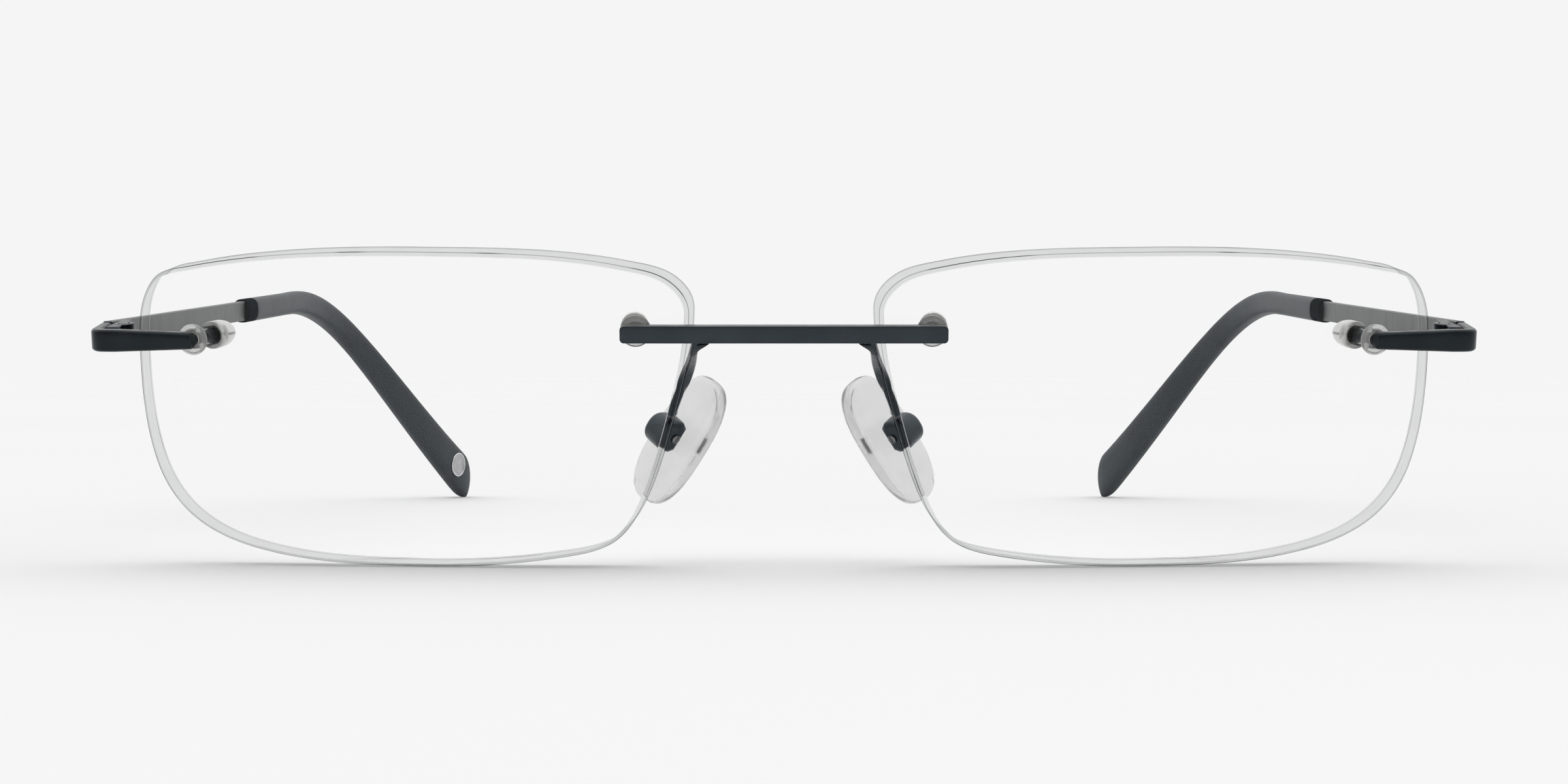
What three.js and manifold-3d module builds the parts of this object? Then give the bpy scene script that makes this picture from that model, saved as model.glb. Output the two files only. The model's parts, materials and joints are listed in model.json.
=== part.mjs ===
// Rimless eyeglasses, standing open on the lower lens edges and the temple tips.
// Millimetres. X runs across the face, Y from the lenses back to the ears, Z up.
// The front is built in its own frame: x across, y back along the lens axes, z up the lens plane,
// with its origin between the two lens centres. Each half is built on the +x side, the wearer's left,
// and mirrored for the wearer's right.
import * as THREE from "three";
import { mergeVertices } from "three/addons/utils/BufferGeometryUtils.js";
import Module from "manifold-3d";

const wasm = await Module();
wasm.setup();

// Driving dimensions: the boxed lens size, the bridge and the stance
const LENS_WIDTH = 54;
const BRIDGE_WIDTH = 18;
const LENS_THICKNESS = 4.0;
const LENS_FRONT_RADIUS = 120; // base curve of the front surface; the back surface is concentric
const LENS_WRAP = 6; // degrees that each lens turns back towards the temple
const FRONT_TILT = 11; // degrees that the top of the lenses leans forward as the glasses stand
const TEMPLE_DIP = 7.1; // degrees between a temple and the lens axis

// Clearances: between fixed neighbours, and round a pin that turns
const FIT = 0.06;
const RUNNING = 0.1;
const BEYOND = 1; // how far a cutting tool runs past what it cuts

// Lens mounts: where the two posts go through each lens, out from and up from its centre
const NASAL_MOUNT = { out: -22.05, up: 7.55 };
const TEMPORAL_MOUNT = { out: 20.9, up: 6.0 };
const POST_RADIUS = 0.6;
const HOLE_RADIUS = 1.0;
const WASHER_RADIUS = 1.5;
const WASHER_THICKNESS = 0.45;
const NUT_RADIUS = 0.95;
const NUT_LENGTH = 0.95;
const POST_PAST_NUT = 0.2;
const CAP_RADIUS = 1.35;
const CAP_LENGTH = 3.6;
const CAP_CHAMFER = 0.12;

// Bridge bar and pad arms
const BAR_HALF_LENGTH = 15.4;
const BAR_HEIGHT = 1.65;
const BAR_DEPTH = 1.3;
const ARM_WIDTH = 0.8;
const ARM_CORNER = 0.22;

// Nose pads: the pad screw's place, and the lean and splay of the pad in degrees
const PAD_SCREW_AT = new THREE.Vector3(11.55, 7.7, -3.9);
const PAD_LEAN = 31.5;
const PAD_SPLAY = 43;
const PAD_LENGTH = 13.9;
const PAD_WIDTH = 7.2;
const PAD_THICKNESS = 1.9;
const CUP_HEIGHT = 3.4;
const CUP_WIDTH = 3.0;
const CUP_BACK = 1.95; // from the pad screw to the closed back of the cup
const CUP_RIM = 0.95; // from the pad screw to the open rim
const CUP_GAP = 0.35; // between the cup's rim and the pad
const BOSS_END = 0.85; // from the pad screw to the end and the edges of the pad's boss
const BOSS_UP = -0.4; // how far the boss stands above the pad's middle, as a drop of the pad

// End pieces and hinges
const OUTER_HALF_WIDTH = 67.3;
const STRIP_THICKNESS = 1.0;
const END_HEIGHT_INNER = 1.6;
const END_HEIGHT_OUTER = 2.2;
const END_OVERHANG = 0.5; // of an end piece past the middle of its post
const END_CORNER = 1.6; // how far to each side of its corner an end piece bends
const END_NOSE = { length: 0.35, drop: 0.3 }; // taper at an end piece's inner end
const HINGE_AT = new THREE.Vector3(65.1, 9.6, 5.6);
const KNUCKLE_RADIUS = 1.0;
const KNUCKLE_HEIGHT = 0.6;
const HINGE_SCREW_RADIUS = 0.48;
const FRONT_LEAF = { start: -2.3, end: -0.3 };
const REAR_LEAF_END = 2.8;
const REAR_LEAF_HEIGHT = 1.8;

// Temples: arc lengths are measured from the hinge axis back along the temple
const TEMPLE_HEIGHT = 2.35;
const TEMPLE_THICKNESS = 0.9;
const CORE_HEIGHT = 1.6;
const CORE_THICKNESS = 0.8;
const COLLAR_START = 57;
const COLLAR_HEIGHT = 2.9;
const SLEEVE_START = 61;
const SLEEVE_WIDTH = 2.2;
const SLEEVE_HEIGHT = 2.9; // before the bend
const TIP_WIDTH = 2.6;
const BEND_HEIGHT = 3.6; // of the sleeve round the bend
const SWELL = { before: 6, after: 18 }; // where the sleeve grows to that, from the start of the bend
const BROADEN_FROM = 108;
const END_ROUNDING = 4.5;
const END_POINT = 0.6;
const TIP_HEIGHT = 6.2; // of the sleeve where it is broadest, by its end
const BEND_START = 84;
const BEND_HANDLES = [30.5, 28.1]; // how far the straight runs into the bend from each end
const CORE_END = 112;
const CORE_PLAY = 0.16; // between the core and its bore, over the full width
const CORE_END_PLAY = 0.3;
const TIP_REACH = 125.5; // from the hinge straight back to the tip's end
const TIP_DROP = 29.17;
const TIP_TOE_IN = 17.9;
const TIP_HEADING = new THREE.Vector3(-0.37, 1, -0.7).normalize();
const MEDALLION_AT = 5.6; // from the end of the tip
const MEDALLION_RADIUS = 1.8;
const MEDALLION_THICKNESS = 0.3;

const rad = THREE.MathUtils.degToRad;
const lerp = THREE.MathUtils.lerp;

// ---------------------------------------------------------------- solids

function solidOf(geometry) {
  const bare = geometry.clone();
  bare.deleteAttribute("normal");
  bare.deleteAttribute("uv");
  const merged = mergeVertices(bare, 1e-4);
  return new wasm.Manifold(
    new wasm.Mesh({
      numProp: 3,
      vertProperties: new Float32Array(merged.attributes.position.array),
      triVerts: new Uint32Array(merged.index.array),
    }),
  );
}

function geometryOf(solid) {
  const mesh = solid.getMesh();
  const geometry = new THREE.BufferGeometry();
  geometry.setAttribute("position", new THREE.BufferAttribute(mesh.vertProperties, 3));
  geometry.setIndex(new THREE.BufferAttribute(mesh.triVerts, 1));
  geometry.computeVertexNormals();
  return geometry;
}

const cut = (body, ...tools) =>
  geometryOf(tools.reduce((left, tool) => left.subtract(solidOf(tool)), solidOf(body)));

const join = (...bodies) =>
  geometryOf(bodies.map(solidOf).reduce((joined, body) => joined.add(body)));

const common = (body, tool) => geometryOf(solidOf(body).intersect(solidOf(tool)));

// A turned piece round the y axis, from [radius, y] pairs.
function turned(profile, segments = 16) {
  return new THREE.LatheGeometry(
    profile.map(([radius, y]) => new THREE.Vector2(radius, y)),
    segments,
  );
}

// A ring round the y axis between two heights.
const ring = (inner, outer, from, to, segments) =>
  turned([[inner, from], [outer, from], [outer, to], [inner, to], [inner, from]], segments);

// A rod along y between two heights.
const rod = (radius, from, to, segments) =>
  turned([[0, from], [radius, from], [radius, to], [0, to]], segments);

// A box between two corners.
function block(low, high) {
  const size = high.map((value, i) => value - low[i]);
  const box = new THREE.BoxGeometry(...size);
  return box.translate(...high.map((value, i) => (value + low[i]) / 2));
}

// A shape drawn in x and z, made solid between two values of y.
function slab(shape, from, to, bevel = 0) {
  const depth = to - from - 2 * bevel;
  const geometry = new THREE.ExtrudeGeometry(shape, {
    depth,
    curveSegments: 4,
    bevelEnabled: bevel > 0,
    bevelThickness: bevel,
    bevelSize: bevel,
    bevelOffset: -bevel,
    bevelSegments: 1,
  });
  return geometry.rotateX(Math.PI / 2).translate(0, to - bevel, 0);
}

// A rectangle with rounded corners, centred on the origin.
function roundedRectangle(width, height, radius) {
  const x = width / 2;
  const y = height / 2;
  const shape = new THREE.Shape();
  shape.absarc(x - radius, y - radius, radius, 0, Math.PI / 2);
  shape.absarc(radius - x, y - radius, radius, Math.PI / 2, Math.PI);
  shape.absarc(radius - x, radius - y, radius, Math.PI, 1.5 * Math.PI);
  shape.absarc(x - radius, radius - y, radius, 1.5 * Math.PI, 2 * Math.PI);
  return shape;
}

// A flat strip's section: a rectangle with its corners taken off.
function stripSection(width, height, corner = 0.18) {
  const x = width / 2;
  const y = height / 2;
  return [
    [x, -y + corner], [x, y - corner], [x - corner, y], [corner - x, y],
    [-x, y - corner], [-x, corner - y], [corner - x, -y], [x - corner, -y],
  ];
}

// A soft-cornered oval section, between an ellipse and a rectangle.
function ovalSection(width, height, lift = 0, points = 12) {
  const squareness = 0.75;
  const soften = (value) => Math.sign(value) * Math.abs(value) ** squareness;
  return Array.from({ length: points }, (_, i) => {
    const angle = (2 * Math.PI * i) / points;
    return [(width / 2) * soften(Math.cos(angle)), lift + (height / 2) * soften(Math.sin(angle))];
  });
}

// Evenly spaced values from one to another.
const evenly = (from, to, steps) =>
  Array.from({ length: steps + 1 }, (_, i) => lerp(from, to, i / steps));

// A closed body swept along a curve, with a section at each of the arc lengths in stations.
// The section keeps its first axis level.
function sweep(curve, stations, sectionAt) {
  const length = curve.getLength();
  const steps = stations.length - 1;
  const up = new THREE.Vector3(0, 0, 1);
  const vertices = [];
  const faces = [];
  let sides = 0;
  stations.forEach((distance, i) => {
    const centre = curve.getPointAt(distance / length);
    const along = curve.getTangentAt(distance / length);
    const level = new THREE.Vector3().crossVectors(up, along).normalize();
    const rise = new THREE.Vector3().crossVectors(along, level);
    const section = sectionAt(distance);
    sides = section.length;
    for (const [a, b] of section)
      vertices.push(centre.clone().addScaledVector(level, a).addScaledVector(rise, b));
    for (let j = 0; j < sides && i < steps; j++) {
      const here = i * sides + j;
      const next = i * sides + ((j + 1) % sides);
      faces.push(here, next, here + sides, next, next + sides, here + sides);
    }
  });
  const last = steps * sides;
  for (let j = 1; j < sides - 1; j++) {
    faces.push(0, j + 1, j);
    faces.push(last, last + j, last + j + 1);
  }
  const geometry = new THREE.BufferGeometry().setFromPoints(vertices);
  geometry.setIndex(faces);
  return geometry;
}

// ---------------------------------------------------------------- materials and meshes

const finish = (color, roughness, metalness, more = {}) => () =>
  new THREE.MeshStandardMaterial({ color, roughness, metalness, ...more });

const blackMetal = finish(0x2a2f33, 0.38, 0.75);
const brushedSteel = finish(0x7d8182, 0.42, 0.9);
const darkSteel = finish(0x55585a, 0.35, 0.9);
const brightSteel = finish(0xb9bbba, 0.25, 1);
const matteSleeve = finish(0x454b4f, 0.55, 0);
const glossCollar = finish(0x20272a, 0.15, 0);
const lensGlass = finish(0xf4f7f7, 0.03, 0, { transparent: true, opacity: 0.35 });
const clearPlastic = finish(0xe6e8e6, 0.12, 0, { transparent: true, opacity: 0.6 });
const clearSilicone = finish(0xdfe1e0, 0.25, 0, { transparent: true, opacity: 0.7 });

function piece(name, geometry, material) {
  const mesh = new THREE.Mesh(geometry, material());
  mesh.name = name;
  return mesh;
}

// ---------------------------------------------------------------- lenses

// The lens outline, seen from the front, clockwise from the crown of the top edge.
// Each point is [out, up, heading in degrees], and neighbours are joined by arc-like curves.
const LENS_OUTLINE = [
  [-1.5, 14.9, 0],
  [21.6, 12.95, -12],
  [25.4, 11.5, -50],
  [27.0, 6.0, -90],
  [25.75, -6.5, -107],
  [22.4, -11.7, -140],
  [15.3, -14.8, -168],
  [-0.5, -15.85, -180],
  [-14.8, -14.75, -189],
  [-20.2, -12.8, -222],
  [-22.75, -8.8, -248],
  [-25.9, 1.65, -256],
  [-26.95, 9.0, -270],
  [-25.0, 12.2, -325],
  [-20.8, 13.6, -348],
];

function lensShape() {
  const shape = new THREE.Shape();
  shape.moveTo(LENS_OUTLINE[0][0], LENS_OUTLINE[0][1]);
  LENS_OUTLINE.forEach(([x0, y0, from], i) => {
    const [x1, y1, heading] = LENS_OUTLINE[(i + 1) % LENS_OUTLINE.length];
    const to = i + 1 < LENS_OUTLINE.length ? heading : heading - 360;
    const handle = Math.hypot(x1 - x0, y1 - y0) / (3 * Math.cos(rad(from - to) / 4) ** 2);
    shape.bezierCurveTo(
      x0 + handle * Math.cos(rad(from)),
      y0 + handle * Math.sin(rad(from)),
      x1 - handle * Math.cos(rad(to)),
      y1 - handle * Math.sin(rad(to)),
      x1,
      y1,
    );
  });
  return shape;
}

// Depth of a sphere's surface behind its apex, at a distance from the axis.
const sag = (sphere, distance) => sphere - Math.sqrt(sphere ** 2 - distance ** 2);

// A round meniscus blank, apex at the origin, before it is cut to the outline.
function lensBlank() {
  const blankRadius = 31;
  const rings = 7;
  const back = LENS_FRONT_RADIUS - LENS_THICKNESS;
  const front = [];
  const rear = [];
  for (let i = 0; i <= rings; i++) {
    const distance = (blankRadius * i) / rings;
    front.push([distance, sag(LENS_FRONT_RADIUS, distance)]);
    rear.unshift([distance, LENS_THICKNESS + sag(back, distance)]);
  }
  return turned([...front, ...rear], 32);
}

// A mount's frame in the lens's frame: on the front surface, y along the inward normal.
function mountFrame({ out, up }) {
  const frame = new THREE.Group();
  frame.position.set(out, sag(LENS_FRONT_RADIUS, Math.hypot(out, up)), up);
  const centre = new THREE.Vector3(0, LENS_FRONT_RADIUS, 0);
  const inward = centre.sub(frame.position).normalize();
  frame.quaternion.setFromUnitVectors(new THREE.Vector3(0, 1, 0), inward);
  return frame;
}

function lensGeometry() {
  const deepest = 12;
  const edged = common(lensBlank(), slab(lensShape(), -BEYOND, deepest));
  const drills = [NASAL_MOUNT, TEMPORAL_MOUNT].map((mount) => {
    const frame = mountFrame(mount);
    frame.updateMatrix();
    return rod(HOLE_RADIUS, -BEYOND, LENS_THICKNESS + BEYOND).applyMatrix4(frame.matrix);
  });
  return cut(edged, ...drills);
}

// ---------------------------------------------------------------- lens mounts

// What holds one point of a lens, along the mount's own y axis.
function mountHardware(side, place) {
  const name = (part) => `${side}_${place}_${part}`;
  const frame = mountFrame(place === "nasal" ? NASAL_MOUNT : TEMPORAL_MOUNT);
  const back = LENS_THICKNESS + FIT;
  const nutEnd = back + NUT_LENGTH;
  const postEnd = nutEnd + POST_PAST_NUT;
  const boreEnd = postEnd + FIT;
  const capEnd = back + CAP_LENGTH;
  const front = -FIT - WASHER_THICKNESS;
  frame.add(
    piece(name("washer"), ring(POST_RADIUS + FIT, WASHER_RADIUS, front, -FIT), clearPlastic),
    piece(name("bush"), ring(POST_RADIUS + FIT, HOLE_RADIUS - FIT, FIT, LENS_THICKNESS - FIT), clearPlastic),
    piece(name("post"), rod(POST_RADIUS, front, postEnd), blackMetal),
    piece(name("nut"), ring(POST_RADIUS + FIT, NUT_RADIUS, back, nutEnd), darkSteel),
  );
  const boreRadius = NUT_RADIUS + FIT;
  // A mushroom: straight at first, then closing along an elliptical dome.
  const shoulder = lerp(back, capEnd, 0.3);
  const dome = [0.45, 0.7, 0.88, 0.97].map((share) => [
    CAP_RADIUS * Math.sqrt(1 - share ** 2),
    lerp(shoulder, capEnd, share),
  ]);
  const cap = turned([
    [0, boreEnd],
    [boreRadius, boreEnd],
    [boreRadius, back],
    [CAP_RADIUS - CAP_CHAMFER, back],
    [CAP_RADIUS, back + CAP_CHAMFER],
    [CAP_RADIUS, shoulder],
    ...dome,
    [0, capEnd],
  ]);
  frame.add(piece(name("cap"), cap, clearPlastic));
  return frame;
}

// ---------------------------------------------------------------- bridge

const BAR_BACK = -0.95; // y of the bar's back face, which the nasal posts stand on
const BAR_UP = NASAL_MOUNT.up - 0.08;
const BAR_CORNER = 0.4;
const BAR_BEVEL = 0.15;

function bridgeBar() {
  const shape = roundedRectangle(2 * BAR_HALF_LENGTH, BAR_HEIGHT, BAR_CORNER);
  return slab(shape, BAR_BACK - BAR_DEPTH, BAR_BACK, BAR_BEVEL).translate(0, 0, BAR_UP);
}

// A bent arm from the underside of the bar, back past the lens edge and down to the pad cup.
function padArm() {
  const below = BAR_UP - BAR_HEIGHT / 2 - FIT;
  const inBar = BAR_BACK - BAR_DEPTH / 2;
  const arm = new THREE.CatmullRomCurve3([
    new THREE.Vector3(8.2, inBar, below + 0.5),
    new THREE.Vector3(8.2, inBar + 0.2, below - 0.5),
    new THREE.Vector3(8.3, 1.2, below - 1.4),
    new THREE.Vector3(8.6, 4.4, 4.6),
    new THREE.Vector3(9.5, 5.9, 2.2),
    new THREE.Vector3(10.75, 6.1, -1.25),
  ]);
  const flareLength = 2;
  const flareWidth = 0.8;
  const flare = (distance) => flareWidth * Math.max(0, 1 - distance / flareLength) ** 2;
  const whole = sweep(arm, evenly(0, arm.getLength(), 16), (distance) =>
    stripSection(ARM_WIDTH + flare(distance), ARM_WIDTH, ARM_CORNER),
  );
  return cut(whole, block([0, -5, below], [2 * BAR_HALF_LENGTH, 5, BAR_UP + BAR_HEIGHT]));
}

// ---------------------------------------------------------------- nose pads

// The pad's frame: origin on the pad screw, z up the pad, y towards the nose, x along the screw.
function padFrame() {
  const up = new THREE.Vector3(-Math.sin(rad(PAD_LEAN)), 0, Math.cos(rad(PAD_LEAN)));
  const level = new THREE.Vector3(-Math.cos(rad(PAD_LEAN)), 0, -Math.sin(rad(PAD_LEAN)));
  const toNose = level.multiplyScalar(Math.cos(rad(PAD_SPLAY)));
  toNose.y = Math.sin(rad(PAD_SPLAY));
  const screw = new THREE.Vector3().crossVectors(toNose, up);
  const frame = new THREE.Group();
  frame.position.copy(PAD_SCREW_AT);
  frame.quaternion.setFromRotationMatrix(new THREE.Matrix4().makeBasis(screw, toNose, up));
  return frame;
}

const PAD_SCREW_RADIUS = 0.32;
const PAD_SCREW_HEAD = { radius: 0.45, height: 0.16 };
const CUP_WALL = 0.45;
const CUP_CORNER = 0.6;
const CUP_BEVEL = 0.35;
const POCKET_WIDTH = CUP_WIDTH - 2 * CUP_WALL;
const POCKET_HEIGHT = CUP_HEIGHT - 2 * CUP_WALL;

// A shape drawn in y and z, made solid across x, centred.
function crossSlab(shape, width, bevel) {
  return slab(shape, -width / 2, width / 2, bevel).rotateZ(Math.PI / 2);
}

const screwRod = (radius, from, to) => rod(radius, from, to, 16).rotateZ(-Math.PI / 2);

// A little box with a rounded back, open towards the pad.
function padCup() {
  const half = CUP_HEIGHT / 2;
  const soft = CUP_CORNER;
  const mouth = half - (2 * soft) / 3;
  const shape = new THREE.Shape();
  shape.moveTo(CUP_RIM, -mouth);
  shape.lineTo(CUP_RIM, mouth);
  shape.lineTo(CUP_RIM - soft, half);
  shape.bezierCurveTo(soft - CUP_BACK, half, -CUP_BACK, half - soft, -CUP_BACK, 0);
  shape.bezierCurveTo(-CUP_BACK, soft - half, soft - CUP_BACK, -half, CUP_RIM - soft, -half);
  const body = crossSlab(shape, CUP_WIDTH, CUP_BEVEL);
  const pocket = block(
    [-POCKET_WIDTH / 2, CUP_WALL - CUP_BACK, -POCKET_HEIGHT / 2],
    [POCKET_WIDTH / 2, CUP_RIM + BEYOND, POCKET_HEIGHT / 2],
  );
  return cut(body, pocket, screwRod(PAD_SCREW_RADIUS + FIT, -CUP_WIDTH, CUP_WIDTH));
}

// The screw runs the width of the cup, with its head on the lens side.
function padScrew() {
  const face = -CUP_WIDTH / 2 - FIT;
  return join(
    screwRod(PAD_SCREW_RADIUS, face - PAD_SCREW_HEAD.height / 2, CUP_WIDTH / 2),
    screwRod(PAD_SCREW_HEAD.radius, face - PAD_SCREW_HEAD.height, face),
  );
}

// An oval pad with a domed face, and the square boss that the screw goes through.
function nosePad() {
  const rim = 0.3; // thickness of the pad at its edge
  const dome = 1.0; // how far in from the edge the pad reaches its full thickness
  const near = CUP_RIM + CUP_GAP;
  const outline = ovalSection(PAD_WIDTH, PAD_LENGTH, 0, 28);
  const shape = new THREE.Shape(outline.map(([x, y]) => new THREE.Vector2(x, y)));
  const plate = new THREE.ExtrudeGeometry(shape, {
    depth: rim,
    bevelThickness: (PAD_THICKNESS - rim) / 2,
    bevelSize: dome,
    bevelOffset: -dome,
    bevelSegments: 3,
  });
  plate.rotateX(Math.PI / 2).translate(0, near + (PAD_THICKNESS + rim) / 2, BOSS_UP);
  const halfWidth = POCKET_WIDTH / 2 - 2 * RUNNING;
  const boss = block([-halfWidth, -BOSS_END, -BOSS_END], [halfWidth, near + CUP_GAP, BOSS_END]);
  return cut(join(plate, boss), screwRod(PAD_SCREW_RADIUS + RUNNING, -CUP_WIDTH, CUP_WIDTH));
}

// ---------------------------------------------------------------- end pieces and hinges

// The end piece's path, in the front's frame: out along the lens, round the corner and back to the hinge.
function endPath(mount) {
  const inward = new THREE.Vector3(0, 1, 0).applyQuaternion(mount.quaternion);
  const outward = new THREE.Vector3(inward.y, -inward.x, 0).normalize();
  const standOff = 2 * FIT + WASHER_THICKNESS + STRIP_THICKNESS / 2;
  const seat = mount.position.clone().addScaledVector(inward, -standOff);
  const innerEnd = seat.clone().addScaledVector(outward, -END_OVERHANG);
  const side = OUTER_HALF_WIDTH - STRIP_THICKNESS / 2;
  outward.z = (HINGE_AT.z - seat.z) / (side - seat.x);
  const corner = seat.clone().addScaledVector(outward, (side - seat.x) / outward.x);
  const beforeCorner = corner.clone().addScaledVector(outward, -END_CORNER);
  const afterCorner = new THREE.Vector3(side, corner.y + END_CORNER, corner.z);
  const hingeEnd = new THREE.Vector3(side, HINGE_AT.y - RUNNING, HINGE_AT.z);
  const path = new THREE.CurvePath();
  path.add(new THREE.LineCurve3(innerEnd, beforeCorner));
  path.add(new THREE.QuadraticBezierCurve3(beforeCorner, corner, afterCorner));
  path.add(new THREE.LineCurve3(afterCorner, hingeEnd));
  return path;
}

function endPiece(mount) {
  const path = endPath(mount);
  const length = path.getLength();
  const fullHeightAt = 0.6 * length;
  return sweep(path, evenly(0, length, 22), (distance) => {
    const height = lerp(END_HEIGHT_INNER, END_HEIGHT_OUTER, Math.min(1, distance / fullHeightAt));
    const taper = END_NOSE.drop * Math.max(0, 1 - distance / END_NOSE.length);
    return stripSection(STRIP_THICKNESS, height - taper);
  });
}

// A rod round the hinge's z axis, between two heights.
const pin = (radius, from, to) => rod(radius, from, to, 18).rotateX(Math.PI / 2);
const knuckle = (from, to) => pin(KNUCKLE_RADIUS, from, to);

const MIDDLE = KNUCKLE_HEIGHT / 2;
const OUTER_FROM = MIDDLE + RUNNING;
const OUTER_TO = OUTER_FROM + KNUCKLE_HEIGHT;
const SLOT_RADIUS = KNUCKLE_RADIUS + 1.5 * RUNNING; // room for the other leaf's knuckle to turn
const LEAF_INNER = -0.1; // x of a leaf's inner face from the hinge axis
const LEAF_OUTER = OUTER_HALF_WIDTH - STRIP_THICKNESS - FIT - HINGE_AT.x;
const REAR_LEAF_OUTER = LEAF_OUTER - 0.12; // the temple's strip stands a little further in

const hingeBore = () => pin(HINGE_SCREW_RADIUS + RUNNING, -OUTER_TO - BEYOND, OUTER_TO + BEYOND);

// The leaf on the end piece carries the top and bottom knuckles.
function hingeFront() {
  const leaf = block(
    [LEAF_INNER, FRONT_LEAF.start, -OUTER_TO],
    [LEAF_OUTER, FRONT_LEAF.end, OUTER_TO],
  );
  const clearance = block(
    [-2 * KNUCKLE_RADIUS, -SLOT_RADIUS, -OUTER_FROM],
    [2 * KNUCKLE_RADIUS, SLOT_RADIUS, OUTER_FROM],
  );
  const joined = join(leaf, knuckle(OUTER_FROM, OUTER_TO), knuckle(-OUTER_TO, -OUTER_FROM));
  return cut(joined, clearance, hingeBore());
}

// The leaf on the temple carries the middle knuckle, on a web.
function hingeRear() {
  const half = REAR_LEAF_HEIGHT / 2;
  const leaf = block([LEAF_INNER, SLOT_RADIUS, -half], [REAR_LEAF_OUTER, REAR_LEAF_END, half]);
  const web = block(
    [LEAF_INNER, KNUCKLE_RADIUS / 5, -MIDDLE],
    [REAR_LEAF_OUTER, lerp(SLOT_RADIUS, REAR_LEAF_END, 0.3), MIDDLE],
  );
  return cut(join(leaf, web, knuckle(-MIDDLE, MIDDLE)), hingeBore());
}

// A slotted screw, flush with the top knuckle and just proud of the bottom one.
function hingeScrew() {
  const top = OUTER_TO + FIT / 2;
  const slotWidth = 0.18;
  const slotDepth = 0.16;
  const slot = block(
    [-BEYOND, -slotWidth / 2, top - slotDepth],
    [BEYOND, slotWidth / 2, top + BEYOND],
  );
  return cut(pin(HINGE_SCREW_RADIUS, -OUTER_TO - 4 * FIT, top), slot);
}

// ---------------------------------------------------------------- temples

// The temple's centre line from the hinge axis: straight back, then down and in behind the ear.
function templePath() {
  const side = OUTER_HALF_WIDTH - STRIP_THICKNESS / 2 - HINGE_AT.x;
  const end = new THREE.Vector3(side - TIP_TOE_IN, TIP_REACH, -TIP_DROP);
  const bend = new THREE.Vector3(side, BEND_START, 0);
  const path = new THREE.CurvePath();
  path.add(new THREE.LineCurve3(new THREE.Vector3(side, 0, 0), bend));
  path.add(
    new THREE.CubicBezierCurve3(
      bend,
      new THREE.Vector3(side, BEND_START + BEND_HANDLES[0], 0),
      end.clone().addScaledVector(TIP_HEADING, -BEND_HANDLES[1]),
      end,
    ),
  );
  return path;
}

// The metal temple: a flat strip, then a thinner core that runs on inside the tip sleeve.
function templeStrip(path) {
  const start = 2 * RUNNING;
  const shoulder = COLLAR_START - FIT;
  const strip = sweep(path, evenly(start, shoulder, 4), () =>
    stripSection(TEMPLE_THICKNESS, TEMPLE_HEIGHT),
  );
  const core = sweep(path, evenly(shoulder - BEYOND, CORE_END, 16), () =>
    stripSection(CORE_THICKNESS, CORE_HEIGHT),
  );
  return join(strip, core);
}

// The sleeve's height at an arc length: it swells a little into the bend and broadens towards the end.
function sleeveHeight(distance, length) {
  const from = BEND_START - SWELL.before;
  const bend = THREE.MathUtils.smoothstep(distance, from, BEND_START + SWELL.after);
  const broadening = Math.max(0, (distance - BROADEN_FROM) / (length - BROADEN_FROM));
  return lerp(SLEEVE_HEIGHT, BEND_HEIGHT, bend) + (TIP_HEIGHT - BEND_HEIGHT) * broadening ** 1.5;
}

// The sleeve's section at an arc length. At the end its upper edge rounds over, and its lower edge
// stays straight nearly to the point.
function sleeveSection(distance, length) {
  const half = sleeveHeight(distance, length) / 2;
  const width = lerp(SLEEVE_WIDTH, TIP_WIDTH, (distance - SLEEVE_START) / (length - SLEEVE_START));
  const past = Math.max(0, 1 - (length - distance) / END_ROUNDING);
  const closing = Math.sqrt(1 - past ** 2);
  const top = lerp(-0.7 * half, half, closing);
  const bottom = -half + END_POINT * past ** 4;
  return ovalSection(width * lerp(0.45, 1, closing), top - bottom, (top + bottom) / 2);
}

function coreBore(path) {
  return sweep(path, evenly(COLLAR_START - BEYOND, CORE_END + CORE_END_PLAY, 16), () =>
    stripSection(CORE_THICKNESS + CORE_PLAY, CORE_HEIGHT + CORE_PLAY),
  );
}

// Where the medallion sits: on the inner face of the tip, near its end.
function medallionFrame(path) {
  const share = 1 - MEDALLION_AT / path.getLength();
  const along = path.getTangentAt(share);
  const inward = new THREE.Vector3().crossVectors(new THREE.Vector3(0, 0, 1), along).normalize();
  const frame = new THREE.Group();
  frame.position.copy(path.getPointAt(share)).addScaledVector(inward, TIP_WIDTH / 2);
  frame.quaternion.setFromUnitVectors(new THREE.Vector3(0, 1, 0), inward);
  return frame;
}

function tipSleeve(path, withRecess) {
  const length = path.getLength();
  const turns = evenly(0, Math.PI / 2, 7).slice(1);
  const stations = [
    ...evenly(SLEEVE_START, length - END_ROUNDING, 22),
    ...turns.map((angle) => length - END_ROUNDING * (1 - Math.sin(angle))),
  ];
  const outer = sweep(path, stations, (distance) => sleeveSection(distance, length));
  const tools = [coreBore(path)];
  if (withRecess) {
    const frame = medallionFrame(path);
    frame.updateMatrix();
    const recess = rod(MEDALLION_RADIUS + FIT, -MEDALLION_THICKNESS, BEYOND);
    tools.push(recess.applyMatrix4(frame.matrix));
  }
  return cut(outer, ...tools);
}

function tipCollar(path) {
  const end = SLEEVE_START - FIT;
  const rounding = 0.25;
  const shell = sweep(path, evenly(COLLAR_START, end, 4), (distance) => {
    const atEnd = Math.min(distance - COLLAR_START, end - distance) < rounding;
    const less = atEnd ? rounding : 0;
    return ovalSection(SLEEVE_WIDTH - less, COLLAR_HEIGHT - less);
  });
  return cut(shell, coreBore(path));
}

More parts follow.
